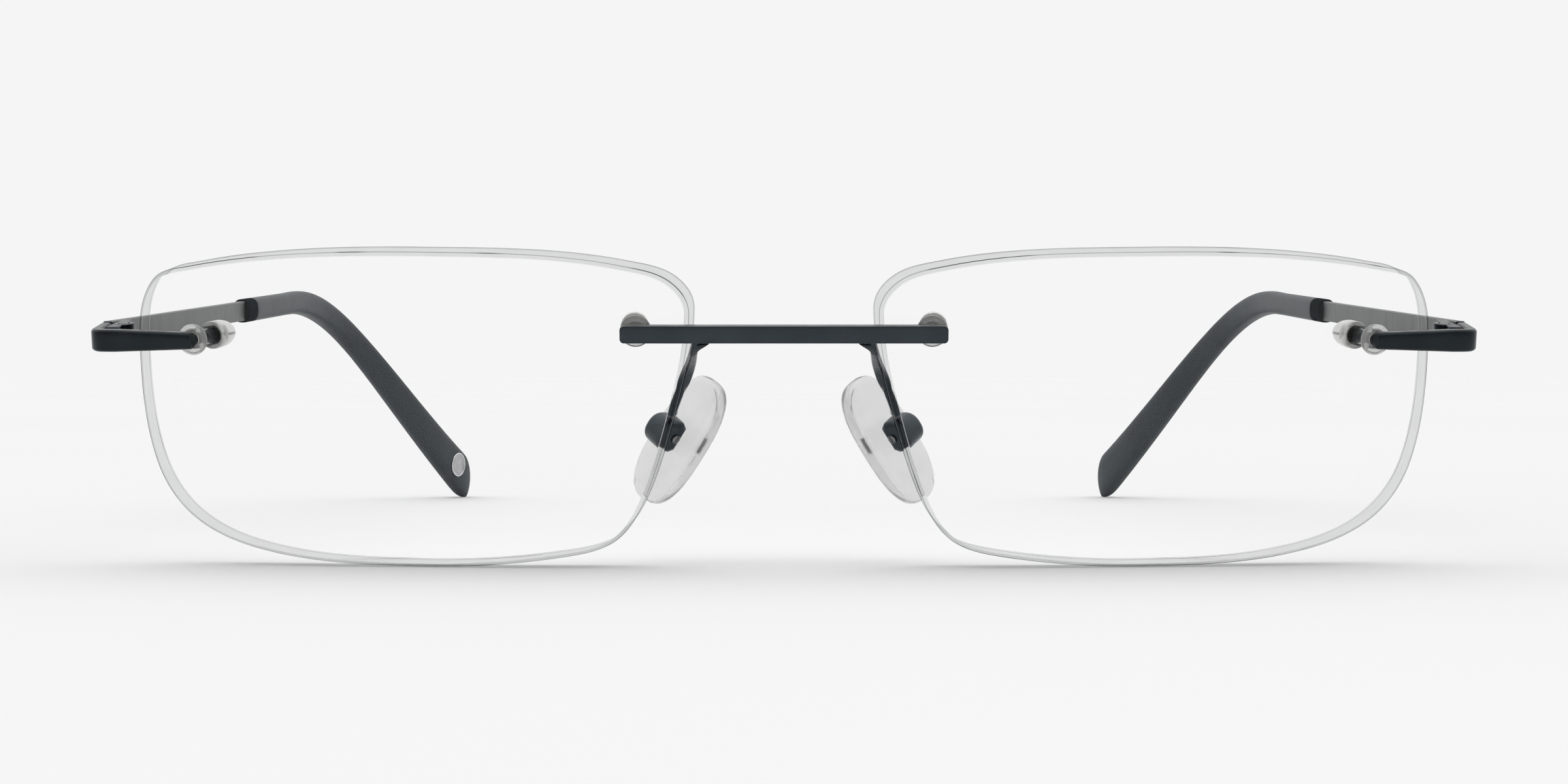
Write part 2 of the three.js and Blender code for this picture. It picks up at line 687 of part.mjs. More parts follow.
// A plain round badge with two concentric grooves.
function medallion() {
  const rim = 0.05;
  const groove = -0.05;
  const middle = 0.01;
  const profile = [
    [0, FIT - MEDALLION_THICKNESS],
    [1, FIT - MEDALLION_THICKNESS],
    [1, rim],
    [0.85, rim],
    [0.82, groove],
    [0.68, groove],
    [0.65, middle],
    [0, middle],
  ];
  return turned(profile.map(([share, y]) => [share * MEDALLION_RADIUS, y]), 24);
}

// ---------------------------------------------------------------- assembly

function buildHalf(side) {
  const half = new THREE.Group();
  const name = (part) => `${side}_${part}`;

  const lens = new THREE.Group();
  const wrap = rad(LENS_WRAP);
  const halfLens = LENS_WIDTH / 2;
  const lensSag = sag(LENS_FRONT_RADIUS, halfLens);
  lens.rotation.z = wrap;
  lens.position.set(
    BRIDGE_WIDTH / 2 + halfLens * Math.cos(wrap) + lensSag * Math.sin(wrap),
    halfLens * Math.sin(wrap) - lensSag * Math.cos(wrap),
    0,
  );
  lens.add(piece(name("lens"), lensGeometry(), lensGlass));
  lens.add(mountHardware(side, "nasal"), mountHardware(side, "temporal"));
  half.add(lens, piece(name("pad_arm"), padArm(), blackMetal));

  const pad = padFrame();
  pad.add(
    piece(name("pad_cup"), padCup(), blackMetal),
    piece(name("pad_screw"), padScrew(), brightSteel),
    piece(name("nose_pad"), nosePad(), clearSilicone),
  );
  half.add(pad);

  const temporal = mountFrame(TEMPORAL_MOUNT);
  temporal.applyMatrix4(new THREE.Matrix4().compose(lens.position, lens.quaternion, lens.scale));
  half.add(piece(name("end_piece"), endPiece(temporal), blackMetal));

  const hinge = new THREE.Group();
  hinge.position.copy(HINGE_AT);
  hinge.add(
    piece(name("hinge_front"), hingeFront(), blackMetal),
    piece(name("hinge_rear"), hingeRear(), blackMetal),
    piece(name("hinge_screw"), hingeScrew(), brightSteel),
  );

  const temple = new THREE.Group();
  temple.rotation.x = -rad(TEMPLE_DIP);
  const path = templePath();
  const badged = side === "right";
  temple.add(
    piece(name("temple"), templeStrip(path), brushedSteel),
    piece(name("tip_collar"), tipCollar(path), glossCollar),
    piece(name("tip_sleeve"), tipSleeve(path, badged), matteSleeve),
  );
  if (badged) {
    const frame = medallionFrame(path);
    frame.add(piece(name("tip_medallion"), medallion(), brightSteel));
    temple.add(frame);
  }
  hinge.add(temple);
  half.add(hinge);
  return half;
}

// The glasses stand with their box centred over the origin and its underside at zero.
function build() {
  const front = new THREE.Group();
  const rightHalf = buildHalf("right");
  rightHalf.scale.x = -1;
  front.add(piece("bridge_bar", bridgeBar(), blackMetal), buildHalf("left"), rightHalf);
  front.rotation.x = rad(FRONT_TILT);
  const glasses = new THREE.Group();
  glasses.add(front);
  const box = new THREE.Box3().setFromObject(glasses, true);
  const centre = box.getCenter(new THREE.Vector3());
  front.position.set(-centre.x, -centre.y, -box.min.z);
  return glasses;
}

export default build();
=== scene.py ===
"""Rimless eyeglasses: the visible pieces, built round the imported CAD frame.

Every piece is built in millimetres, for the wearer's left, in the same local frames as the CAD
part. It is then moved into the row frame, scaled to metres, and mirrored for the wearer's right.
"""
import json
import math

import bmesh
import bpy
from mathutils import Matrix, Vector


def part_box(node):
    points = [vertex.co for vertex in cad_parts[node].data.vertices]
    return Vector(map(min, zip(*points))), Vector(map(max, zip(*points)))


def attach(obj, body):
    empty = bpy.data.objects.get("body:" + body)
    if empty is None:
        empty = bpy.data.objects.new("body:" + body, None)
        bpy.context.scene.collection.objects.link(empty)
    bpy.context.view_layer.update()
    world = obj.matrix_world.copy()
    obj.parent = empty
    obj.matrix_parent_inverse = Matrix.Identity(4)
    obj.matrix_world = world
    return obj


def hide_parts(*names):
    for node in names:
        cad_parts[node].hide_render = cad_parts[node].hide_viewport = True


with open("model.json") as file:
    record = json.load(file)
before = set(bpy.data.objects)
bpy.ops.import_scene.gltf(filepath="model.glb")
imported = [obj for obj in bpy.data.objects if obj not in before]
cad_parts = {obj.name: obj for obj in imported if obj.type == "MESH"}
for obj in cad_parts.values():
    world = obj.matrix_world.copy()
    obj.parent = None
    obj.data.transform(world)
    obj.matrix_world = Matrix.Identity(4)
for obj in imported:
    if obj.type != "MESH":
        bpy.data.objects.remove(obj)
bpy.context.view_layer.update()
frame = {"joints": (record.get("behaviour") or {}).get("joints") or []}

MM = 0.001
SIDES = {"left": 1, "right": -1}

# Dimensions shared with the CAD part, in millimetres and degrees
LENS_WIDTH = 54
BRIDGE_WIDTH = 18
LENS_THICKNESS = 4.0
LENS_FRONT_RADIUS = 120
LENS_WRAP = 6
FRONT_TILT = 11
TEMPLE_DIP = 7.1
FIT = 0.06
RUNNING = 0.1
NASAL_MOUNT = (-22.05, 7.55)
TEMPORAL_MOUNT = (20.9, 6.0)
POST_RADIUS = 0.6
HOLE_RADIUS = 1.0
WASHER_RADIUS = 1.5
WASHER_THICKNESS = 0.45
NUT_RADIUS = 0.95
NUT_LENGTH = 0.95
POST_PAST_NUT = 0.2
CAP_RADIUS = 1.35
CAP_LENGTH = 3.6
BAR_HALF_LENGTH = 15.4
BAR_HEIGHT = 1.65
BAR_DEPTH = 1.3
BAR_BACK = -0.95
BAR_UP = NASAL_MOUNT[1] - 0.08
ARM_WIDTH = 0.8
PAD_LEAN = 31.5
PAD_SPLAY = 43
PAD_LENGTH = 13.9
PAD_WIDTH = 7.2
PAD_THICKNESS = 1.9
CUP_HEIGHT = 3.4
CUP_WIDTH = 3.0
CUP_BACK = 1.95
CUP_RIM = 0.95
CUP_GAP = 0.35
CUP_WALL = 0.45
BOSS_END = 0.85
BOSS_UP = -0.4
PAD_SCREW_RADIUS = 0.32
OUTER_HALF_WIDTH = 67.3
STRIP_THICKNESS = 1.0
END_HEIGHT_INNER = 1.6
END_HEIGHT_OUTER = 2.2
KNUCKLE_RADIUS = 1.0
KNUCKLE_HEIGHT = 0.6
HINGE_SCREW_RADIUS = 0.48
TEMPLE_HEIGHT = 2.35
TEMPLE_THICKNESS = 0.9
CORE_HEIGHT = 1.6
CORE_THICKNESS = 0.8
COLLAR_START = 57
COLLAR_HEIGHT = 2.9
SLEEVE_START = 61
SLEEVE_WIDTH = 2.2
SLEEVE_HEIGHT = 2.9
TIP_WIDTH = 2.6
BEND_HEIGHT = 3.6
BROADEN_FROM = 108
END_ROUNDING = 4.5
END_POINT = 0.6
TIP_HEIGHT = 6.2
BEND_START = 84
BEND_HANDLES = (30.5, 28.1)
CORE_END = 112
CORE_PLAY = 0.16
CORE_END_PLAY = 0.3
TIP_REACH = 125.5
TIP_DROP = 29.17
TIP_TOE_IN = 17.9
TIP_HEADING = Vector((-0.37, 1, -0.7)).normalized()
MEDALLION_AT = 5.6
MEDALLION_RADIUS = 1.8
MEDALLION_THICKNESS = 0.3

# The lens outline from the crown of the top edge, clockwise from the front: out, up, heading
LENS_OUTLINE = [
    (-1.5, 14.9, 0), (21.6, 12.95, -12), (25.4, 11.5, -50), (27.0, 6.0, -90),
    (25.75, -6.5, -107), (22.4, -11.7, -140), (15.3, -14.8, -168), (-0.5, -15.85, -180),
    (-14.8, -14.75, -189), (-20.2, -12.8, -222), (-22.75, -8.8, -248), (-25.9, 1.65, -256),
    (-26.95, 9.0, -270), (-25.0, 12.2, -325), (-20.8, 13.6, -348),
]


def evenly(start, end, steps):
    """steps + 1 values from start to end."""
    return [start + (end - start) * i / steps for i in range(steps + 1)]


def lerp(a, b, t):
    return a + (b - a) * t


# ------------------------ meshes

SEGMENTS = 48  # round a turned or an oval piece
BEVEL_SEGMENTS = 3
BEVEL_ANGLE = 50  # edges sharper than this are bevelled
SLIVER = 0.002
DRILL_REACH = 3  # to either side, further than the pieces it cuts


def mesh_of(vertices, faces):
    """A mesh with its faces turned outwards."""
    mesh = bpy.data.meshes.new("piece")
    mesh.from_pydata([tuple(v) for v in vertices], [], faces)
    bm = bmesh.new()
    bm.from_mesh(mesh)
    bmesh.ops.recalc_face_normals(bm, faces=bm.faces)
    bm.to_mesh(mesh)
    bm.free()
    return mesh


def loft(rings, tube=False):
    """A skin through rings of points, closed by a face at each end, or back to its first ring."""
    sides = len(rings[0])
    vertices = [point for ring in rings for point in ring]
    faces = []
    last = len(rings) if tube else len(rings) - 1
    for i in range(last):
        here = i * sides
        there = ((i + 1) % len(rings)) * sides
        for j in range(sides):
            k = (j + 1) % sides
            faces.append((here + j, here + k, there + k, there + j))
    if not tube:
        faces.append(tuple(range(sides)))
        faces.append(tuple(range(len(vertices) - sides, len(vertices))))
    return mesh_of(vertices, faces)


def turned(profile, segments=SEGMENTS, closed=False):
    """A profile of (radius, y) pairs, turned round the y axis."""
    bm = bmesh.new()
    points = [bm.verts.new((radius, y, 0)) for radius, y in profile]
    pairs = list(zip(points, points[1:]))
    if closed:
        pairs.append((points[-1], points[0]))
    edges = [bm.edges.new(pair) for pair in pairs]
    bmesh.ops.spin(bm, geom=points + edges, cent=(0, 0, 0), axis=(0, 1, 0),
                   angle=2 * math.pi, steps=segments, use_merge=True)
    bmesh.ops.remove_doubles(bm, verts=bm.verts, dist=1e-5)
    bmesh.ops.recalc_face_normals(bm, faces=bm.faces)
    mesh = bpy.data.meshes.new("turned")
    bm.to_mesh(mesh)
    bm.free()
    return mesh


def quarter(start=0):
    """Angles over a quarter turn from a start in degrees, for a rounded edge."""
    return [math.radians(start + 30 * step) for step in range(4)]


def soft_ring(inner, outer, low, high, soft):
    """A turned ring with rounded edges."""
    profile = []
    corners = [(outer, low, -90), (outer, high, 0), (inner, high, 90), (inner, low, 180)]
    for radius, y, start in corners:
        middle = (radius + (soft if radius == inner else -soft), y + (soft if y == low else -soft))
        for angle in quarter(start):
            profile.append((middle[0] + soft * math.cos(angle), middle[1] + soft * math.sin(angle)))
    return turned(profile, closed=True)


def soft_rod(radius, low, high, soft, segments=SEGMENTS):
    """A turned rod with rounded ends."""
    core = radius - soft
    ends = [(core + soft * math.sin(a), low + soft - soft * math.cos(a)) for a in quarter()]
    tops = [(core + soft * math.cos(a), high - soft + soft * math.sin(a)) for a in quarter()]
    return turned([(0, low), *ends, *tops, (0, high)], segments)


def drill(radius, low=-DRILL_REACH, high=DRILL_REACH, segments=SEGMENTS):
    """A plain cylinder round the y axis, for cutting a hole."""
    return turned([(0, low), (radius, low), (radius, high), (0, high)], segments)


def block(low, high):
    corners = [(x, y, z) for x in (low[0], high[0]) for y in (low[1], high[1])
               for z in (low[2], high[2])]
    return mesh_of(corners, [(0, 1, 3, 2), (4, 6, 7, 5), (0, 4, 5, 1), (2, 3, 7, 6),
                             (0, 2, 6, 4), (1, 5, 7, 3)])


def worked(mesh, tools=(), operation="DIFFERENCE", bevel=0):
    """The mesh with its sharp edges rounded by bevel, and the tools cut from it or joined to it."""
    work = bpy.data.objects.new("work", mesh)
    bpy.context.scene.collection.objects.link(work)
    if bevel:
        rounding = work.modifiers.new("rounding", "BEVEL")
        rounding.width = bevel
        rounding.segments = BEVEL_SEGMENTS
        rounding.limit_method = "ANGLE"
        rounding.angle_limit = math.radians(BEVEL_ANGLE)
    helpers = []
    for tool in tools:
        helper = bpy.data.objects.new("tool", tool)
        bpy.context.scene.collection.objects.link(helper)
        helpers.append(helper)
        cut = work.modifiers.new("cut", "BOOLEAN")
        cut.operation = operation
        cut.solver = "EXACT"
        cut.object = helper
    bpy.context.view_layer.update()
    done = work.evaluated_get(bpy.context.evaluated_depsgraph_get())
    result = bpy.data.meshes.new_from_object(done)
    for helper in [work, *helpers]:
        bpy.data.objects.remove(helper)
    return result


def joined_up(mesh):
    """The mesh without the slivers that cutting leaves: vertices that nearly touch become one."""
    bm = bmesh.new()
    bm.from_mesh(mesh)
    bmesh.ops.triangulate(bm, faces=bm.faces)
    bmesh.ops.remove_doubles(bm, verts=bm.verts, dist=SLIVER)
    bmesh.ops.dissolve_degenerate(bm, edges=bm.edges, dist=SLIVER / 4)
    bmesh.ops.recalc_face_normals(bm, faces=bm.faces)
    bm.to_mesh(mesh)
    bm.free()
    return mesh


def moved(mesh, matrix):
    mesh.transform(matrix)
    return mesh


def rounded_rectangle(width, height, radius, steps=5):
    """Points of a rectangle with rounded corners, centred on the origin."""
    centres = [(1, 1), (-1, 1), (-1, -1), (1, -1)]
    points = []
    for quarter, (a, b) in enumerate(centres):
        for angle in evenly(90 * quarter, 90 * quarter + 90, steps):
            points.append((a * (width / 2 - radius) + radius * math.cos(math.radians(angle)),
                           b * (height / 2 - radius) + radius * math.sin(math.radians(angle))))
    return points


def oval(width, height, lift=0):
    """A soft-cornered oval, between an ellipse and a rectangle."""
    squareness = 0.75
    result = []
    for i in range(SEGMENTS):
        c = math.cos(2 * math.pi * i / SEGMENTS)
        s = math.sin(2 * math.pi * i / SEGMENTS)
        result.append((width / 2 * math.copysign(abs(c) ** squareness, c),
                       lift + height / 2 * math.copysign(abs(s) ** squareness, s)))
    return result


class Path:
    """A line through close points, read by the distance along it."""

    def __init__(self, points):
        self.points = points
        self.marks = [0]
        for a, b in zip(points, points[1:]):
            self.marks.append(self.marks[-1] + (b - a).length)
        self.length = self.marks[-1]

    def at(self, distance):
        """The point and the heading at a distance, carried on straight past the ends."""
        i = next((i for i, mark in enumerate(self.marks[1:]) if mark >= distance),
                 len(self.marks) - 2)
        a, b = self.points[i], self.points[i + 1]
        share = (distance - self.marks[i]) / (self.marks[i + 1] - self.marks[i])
        before = self.points[max(i - 1, 0)]
        after = self.points[min(i + 2, len(self.points) - 1)]
        start = (b - before).normalized()
        end = (after - a).normalized()
        return a.lerp(b, share), start.lerp(end, share).normalized()

    def ring(self, distance, section):
        """A section of (level, rise) points, placed square to the path."""
        centre, along = self.at(distance)
        level = Vector((0, 0, 1)).cross(along).normalized()
        rise = along.cross(level)
        return [centre + level * a + rise * b for a, b in section]


def bezier(points, steps):
    """Points along the curve that the control points give."""
    def at(controls, t):
        if len(controls) == 1:
            return controls[0]
        return at([a.lerp(b, t) for a, b in zip(controls, controls[1:])], t)
    return [at(points, t) for t in evenly(0, 1, steps)]


# ------------------------ materials

def linear(hexadecimal):
    """A web colour as a linear RGBA."""
    channels = [int(hexadecimal[i:i + 2], 16) / 255 for i in (0, 2, 4)]
    return [c / 12.92 if c <= 0.04045 else ((c + 0.055) / 1.055) ** 2.4 for c in channels] + [1]


class Finish:
    """A Principled material, and what varies its sockets over the surface."""

    def __init__(self, name, **sockets):
        self.material = bpy.data.materials.new(name)
        self.material.use_nodes = True
        self.tree = self.material.node_tree
        self.shader = self.tree.nodes["Principled BSDF"]
        for socket, value in sockets.items():
            self.shader.inputs[socket.replace("_", " ")].default_value = value

    def add(self, kind, **values):
        node = self.tree.nodes.new(kind)
        for name, value in values.items():
            node.inputs[name].default_value = value
        return node

    def link(self, output, target):
        self.tree.links.new(output, target)

    def noise(self, size, detail, stretch=(1, 1, 1), turn=0):
        """Noise of a size in millimetres, stretched along x, y and z and turned about x."""
        place = self.add("ShaderNodeTexCoord")
        mapping = self.add("ShaderNodeMapping", Rotation=(math.radians(turn), 0, 0),
                           Scale=[1 / (MM * size * s) for s in stretch])
        self.link(place.outputs["Object"], mapping.inputs["Vector"])
        noise = self.add("ShaderNodeTexNoise", Scale=1, Detail=detail)
        self.link(mapping.outputs["Vector"], noise.inputs["Vector"])
        return noise.outputs["Fac"]

    def vary(self, value, socket, low, high):
        """The socket follows the value, from low to high over the middle of the noise's range."""
        band = self.add("ShaderNodeMapRange", **{"From Min": 0.3, "From Max": 0.7,
                                                 "To Min": low, "To Max": high})
        self.link(value, band.inputs["Value"])
        self.link(band.outputs["Result"], self.shader.inputs[socket])

    def colour(self, value, *stops):
        """The base colour follows the value through (place, web colour) stops."""
        ramp = self.add("ShaderNodeValToRGB")
        elements = ramp.color_ramp.elements
        while len(elements) < len(stops):
            elements.new(0.5)
        for element, (place, colour) in zip(elements, stops):
            element.position = place
            element.color = linear(colour)
        self.link(value, ramp.inputs["Fac"])
        self.link(ramp.outputs["Color"], self.shader.inputs["Base Color"])

    def bump(self, value, height, strength):
        """Raises the surface by the value, up to a height in millimetres."""
        bump = self.add("ShaderNodeBump", Distance=height * MM, Strength=strength)
        self.link(value, bump.inputs["Height"])
        self.link(bump.outputs["Normal"], self.shader.inputs["Normal"])


def lens_face_finish():
    """Clear lens, with the faintest of smears."""
    finish = Finish("lens_face", Transmission_Weight=1, IOR=1.2, Base_Color=(1, 1, 1, 1))
    finish.vary(finish.noise(9, 4), "Roughness", 0, 0.003)
    return finish.material


def lens_edge_finish():
    """The polished edge and bevels. They're greyer than the faces, a grey tint that is painted
    shade, with a trace of wheel marks.
    """
    finish = Finish("lens_edge", Transmission_Weight=1, IOR=1.0)
    # painted shade: a grey tint on clear edges that bend no light
    finish.colour(finish.noise(2.5, 2), (0.3, "c6c7c7"), (0.7, "cecfcf"))
    finish.vary(finish.noise(0.7, 3), "Roughness", 0, 0.03)
    return finish.material


def lens_rim_finish():
    """The outermost line of the edge: painted grey shade, with dark stretches of painted reflection
    that a noise pattern places.
    """
    finish = Finish("lens_rim", Transmission_Weight=1, IOR=1.0)
    # painted shade and painted reflections along the lens's outline
    finish.colour(finish.noise(9, 2), (0.4, "2c2e2e"), (0.46, "7c7e7e"), (0.7, "949696"))
    finish.vary(finish.noise(0.7, 3), "Roughness", 0, 0.03)
    return finish.material


def lens_glint_finish():
    """A painted highlight: the fine line of light along the crease between a face and its bevel."""
    # painted highlight: a near-white line, partly see-through
    finish = Finish("lens_glint", Base_Color=linear("f4f5f5"))
    finish.vary(finish.noise(1.5, 2), "Roughness", 0.1, 0.25)
    finish.vary(finish.noise(6, 2), "Alpha", 0.35, 0.75)
    return finish.material


def clear_plastic_finish():
    """Moulded clear plastic of the caps, washers and bushes."""
    finish = Finish("clear_plastic", Transmission_Weight=0.76, IOR=1.4)
    finish.colour(finish.noise(1.2, 2), (0.3, "dadbd9"), (0.7, "e6e6e4"))
    finish.vary(finish.noise(0.5, 3), "Roughness", 0.06, 0.14)
    return finish.material


def clear_bush_finish():
    """Clear plastic that bends light little, so that the bush hardly shows inside the lens."""
    finish = Finish("clear_bush", Transmission_Weight=1, IOR=1.04)
    finish.colour(finish.noise(1.0, 2), (0.3, "dcdedd"), (0.7, "e8eaea"))
    finish.vary(finish.noise(0.5, 3), "Roughness", 0, 0.05)
    return finish.material


def silicone_finish():
    """Soft clear silicone, a little cloudy, with fine moulding texture."""
    finish = Finish("silicone", Transmission_Weight=0.9, IOR=1.38)
    finish.colour(finish.noise(2.5, 3), (0.3, "e4e4e4"), (0.7, "eeeeee"))
    finish.vary(finish.noise(1.6, 3), "Roughness", 0.08, 0.16)
    finish.bump(finish.noise(0.5, 2), 0.006, 0.3)
    return finish.material


def black_metal_finish(name, dark, light):
    """Blue-black plated metal, with fine polishing grain and cloudy sheen."""
    finish = Finish(name, Metallic=0.85)
    finish.colour(finish.noise(3, 4), (0.3, dark), (0.7, light))
    finish.vary(finish.noise(1.5, 5), "Roughness", 0.24, 0.36)
    finish.bump(finish.noise(0.12, 4), 0.004, 0.35)
    return finish.material


def brushed_steel_finish():
    """Steel brushed across the strip, in fine and broad streaks."""
    turn = -(FRONT_TILT - TEMPLE_DIP)  # the temple's own slope, since the noise is upright
    finish = Finish("brushed_steel", Metallic=1.0)
    fine = finish.noise(0.07, 2, (40, 1, 60), turn)
    broad = finish.noise(0.9, 3, (8, 1, 12), turn)
    both = finish.add("ShaderNodeMath")
    both.operation = "ADD"
    finish.link(fine, both.inputs[0])
    finish.link(broad, both.inputs[1])
    finish.colour(both.outputs["Value"], (0.8, "424545"), (1.2, "525555"))
    finish.vary(fine, "Roughness", 0.3, 0.46)
    finish.bump(fine, 0.006, 0.5)
    return finish.material


def steel_finish(name, dark, light, smooth):
    """Turned steel, in fine cloudy patches of tone and polish."""
    finish = Finish(name, Metallic=1.0)
    finish.colour(finish.noise(0.6, 4), (0.3, dark), (0.7, light))
    finish.vary(finish.noise(0.2, 4), "Roughness", smooth, smooth + 0.12)
    return finish.material


def sleeve_finish():
    """Matte blue-grey acetate, faintly mottled, with a very fine grain."""
    finish = Finish("sleeve", Specular_IOR_Level=0.36)
    finish.colour(finish.noise(5, 5), (0.3, "1e262b"), (0.7, "262f35"))
    finish.vary(finish.noise(2.2, 4), "Roughness", 0.46, 0.5)
    finish.bump(finish.noise(0.3, 2), 0.002, 0.15)
    return finish.material


def collar_finish():
    """Near-black plastic without a sheen."""
    finish = Finish("collar", Specular_IOR_Level=0.0)
    finish.colour(finish.noise(1.5, 3), (0.3, "14181a"), (0.7, "1c2124"))
    finish.vary(finish.noise(0.4, 4), "Roughness", 0.22, 0.34)
    return finish.material


LENS_FACE = lens_face_finish()
LENS_EDGE = lens_edge_finish()
LENS_RIM = lens_rim_finish()
LENS_GLINT = lens_glint_finish()
CLEAR_PLASTIC = clear_plastic_finish()
CLEAR_BUSH = clear_bush_finish()
SILICONE = silicone_finish()
BLACK_METAL = black_metal_finish("black_metal", "32383d", "3a4045")
# The same blue-black metal made darker for the end pieces and hinge leaves: the darker tone is
# painted shade
END_METAL_PAINTED_SHADE = black_metal_finish("end_metal_painted_shade", "1c2226", "262c30")
BRUSHED_STEEL = brushed_steel_finish()
DARK_STEEL = steel_finish("dark_steel", "303335", "3f4244", 0.24)
BADGE_STEEL = steel_finish("badge_steel", "a4a3a6", "b4b3b6", 0.26)
# Darker, duller steel for the pad and hinge screws; on the hinge screw the darkness is painted
# shade of the dark recess round it
SCREW_STEEL = steel_finish("screw_steel", "6c6e6d", "7e807f", 0.3)
# Brighter steel for the badge's raised rim: a painted highlight
RIM_HIGHLIGHT_STEEL = steel_finish("bright_steel", "c6c8c7", "dadcdb", 0.18)
SLEEVE = sleeve_finish()
COLLAR = collar_finish()


# ------------------------ frames, in millimetres

TILT = Matrix.Rotation(math.radians(FRONT_TILT), 4, "X")
bar_low, bar_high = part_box("bridge_bar")
bar_middle = (bar_low + bar_high) / (2 * MM)
bar_in_front = TILT @ Vector((0, BAR_BACK - BAR_DEPTH / 2, BAR_UP))
FRONT = Matrix.Translation(bar_middle - bar_in_front) @ TILT


def joint_at(name):
    """The place of a joint's axis, in millimetres."""
    joint = next(joint for joint in frame["joints"] if joint["name"] == name)
    return Vector(joint["pos_m"]) / MM


def sag(sphere, distance):
    """How far a sphere of a radius falls away at a distance from its crown."""
    return sphere - math.sqrt(sphere ** 2 - distance ** 2)


def lens_frame():
    """On the crown of the lens's front, turned by the wrap."""
    wrap = math.radians(LENS_WRAP)
    half = LENS_WIDTH / 2
    depth = sag(LENS_FRONT_RADIUS, half)
    place = Vector((BRIDGE_WIDTH / 2 + half * math.cos(wrap) + depth * math.sin(wrap),
                    half * math.sin(wrap) - depth * math.cos(wrap), 0))
    return Matrix.Translation(place) @ Matrix.Rotation(wrap, 4, "Z")


def mount_frame(mount):
    """On the lens's front surface, with y along the inward normal."""
    out, up = mount
    place = Vector((out, sag(LENS_FRONT_RADIUS, math.hypot(out, up)), up))
    inward = (Vector((0, LENS_FRONT_RADIUS, 0)) - place).normalized()
    turn = Vector((0, 1, 0)).rotation_difference(inward)
    return Matrix.Translation(place) @ turn.to_matrix().to_4x4()


def pad_frame():
    """On the pad screw, with z up the pad, y towards the nose and x along the screw."""
    lean = math.radians(PAD_LEAN)
    splay = math.radians(PAD_SPLAY)
    up = Vector((-math.sin(lean), 0, math.cos(lean)))
    to_nose = Vector((-math.cos(lean) * math.cos(splay), math.sin(splay),
                      -math.sin(lean) * math.cos(splay)))
    screw = to_nose.cross(up)
    basis = Matrix((screw, to_nose, up)).transposed().to_4x4()
    return Matrix.Translation(joint_at("left_pad_rock")) @ TILT @ basis


LENS = FRONT @ lens_frame()
HINGE = Matrix.Translation(joint_at("left_temple_fold")) @ TILT
TEMPLE = HINGE @ Matrix.Rotation(-math.radians(TEMPLE_DIP), 4, "X")
PAD = pad_frame()


def piece(node, mesh, place, side, body, material, sharp=35):
    """Puts a finished mesh in the scene: it stands for the CAD node and rides on the body."""
    mesh = mesh.copy()
    mesh.transform(Matrix.Scale(MM, 4) @ place)
    if side < 0:
        mesh.transform(Matrix.Scale(-1, 4, (1, 0, 0)))
        mesh.flip_normals()
    mesh.shade_smooth()
    mesh.set_sharp_from_angle(angle=math.radians(sharp))
    if not mesh.materials:
        mesh.materials.append(material)
    mesh.name = node + "_look"
    shown = bpy.data.objects.new(node + "_look", mesh)
    bpy.context.scene.collection.objects.link(shown)
    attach(shown, body)
    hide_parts(node)
    return shown


# ------------------------ lenses

def true_sphere(shown, centre):
    """Shades the faces of the first material as parts of a sphere round the centre."""
    mesh = shown.data
    normals = [(0, 0, 0)] * len(mesh.loops)
    for face in mesh.polygons:
        if face.material_index:
            continue
        way = math.copysign(1, face.normal.dot(face.center - centre))
        for loop in face.loop_indices:
            point = mesh.vertices[mesh.loops[loop].vertex_index].co
            normals[loop] = tuple((point - centre).normalized() * way)
    mesh.normals_split_custom_set(normals)


BEVEL_WIDTH = 0.42
BEVEL_DEPTH = 0.4
REAR_BEVEL = 0.35  # of the front one
GLINT_WIDTH = 0.07
RIM_WIDTH = 0.08
STRETCH_POINTS = 14  # along each stretch of the outline
# EDGE carries painted grey shade, RIM painted shade and reflections, and GLINT a painted highlight
FACE, EDGE, RIM, GLINT = range(4)  # the lens's materials


def lens_outline():
    """Close points round the lens, with the outward normal at each."""
    controls = []
    closed = LENS_OUTLINE + [(*LENS_OUTLINE[0][:2], LENS_OUTLINE[0][2] - 360)]
    for (x0, z0, start), (x1, z1, end) in zip(closed, closed[1:]):
        a, b = math.radians(start), math.radians(end)
        reach = math.hypot(x1 - x0, z1 - z0) / (3 * math.cos((a - b) / 4) ** 2)
        p0, p3 = Vector((x0, z0)), Vector((x1, z1))
        controls.append([p0, p0 + reach * Vector((math.cos(a), math.sin(a))),
                         p3 - reach * Vector((math.cos(b), math.sin(b))), p3])
    points = [p for curve in controls for p in bezier(curve, STRETCH_POINTS)[:-1]]
    result = []
    for i, point in enumerate(points):
        along = (points[(i + 1) % len(points)] - points[i - 1]).normalized()
        result.append((point, Vector((-along.y, along.x))))
    return result


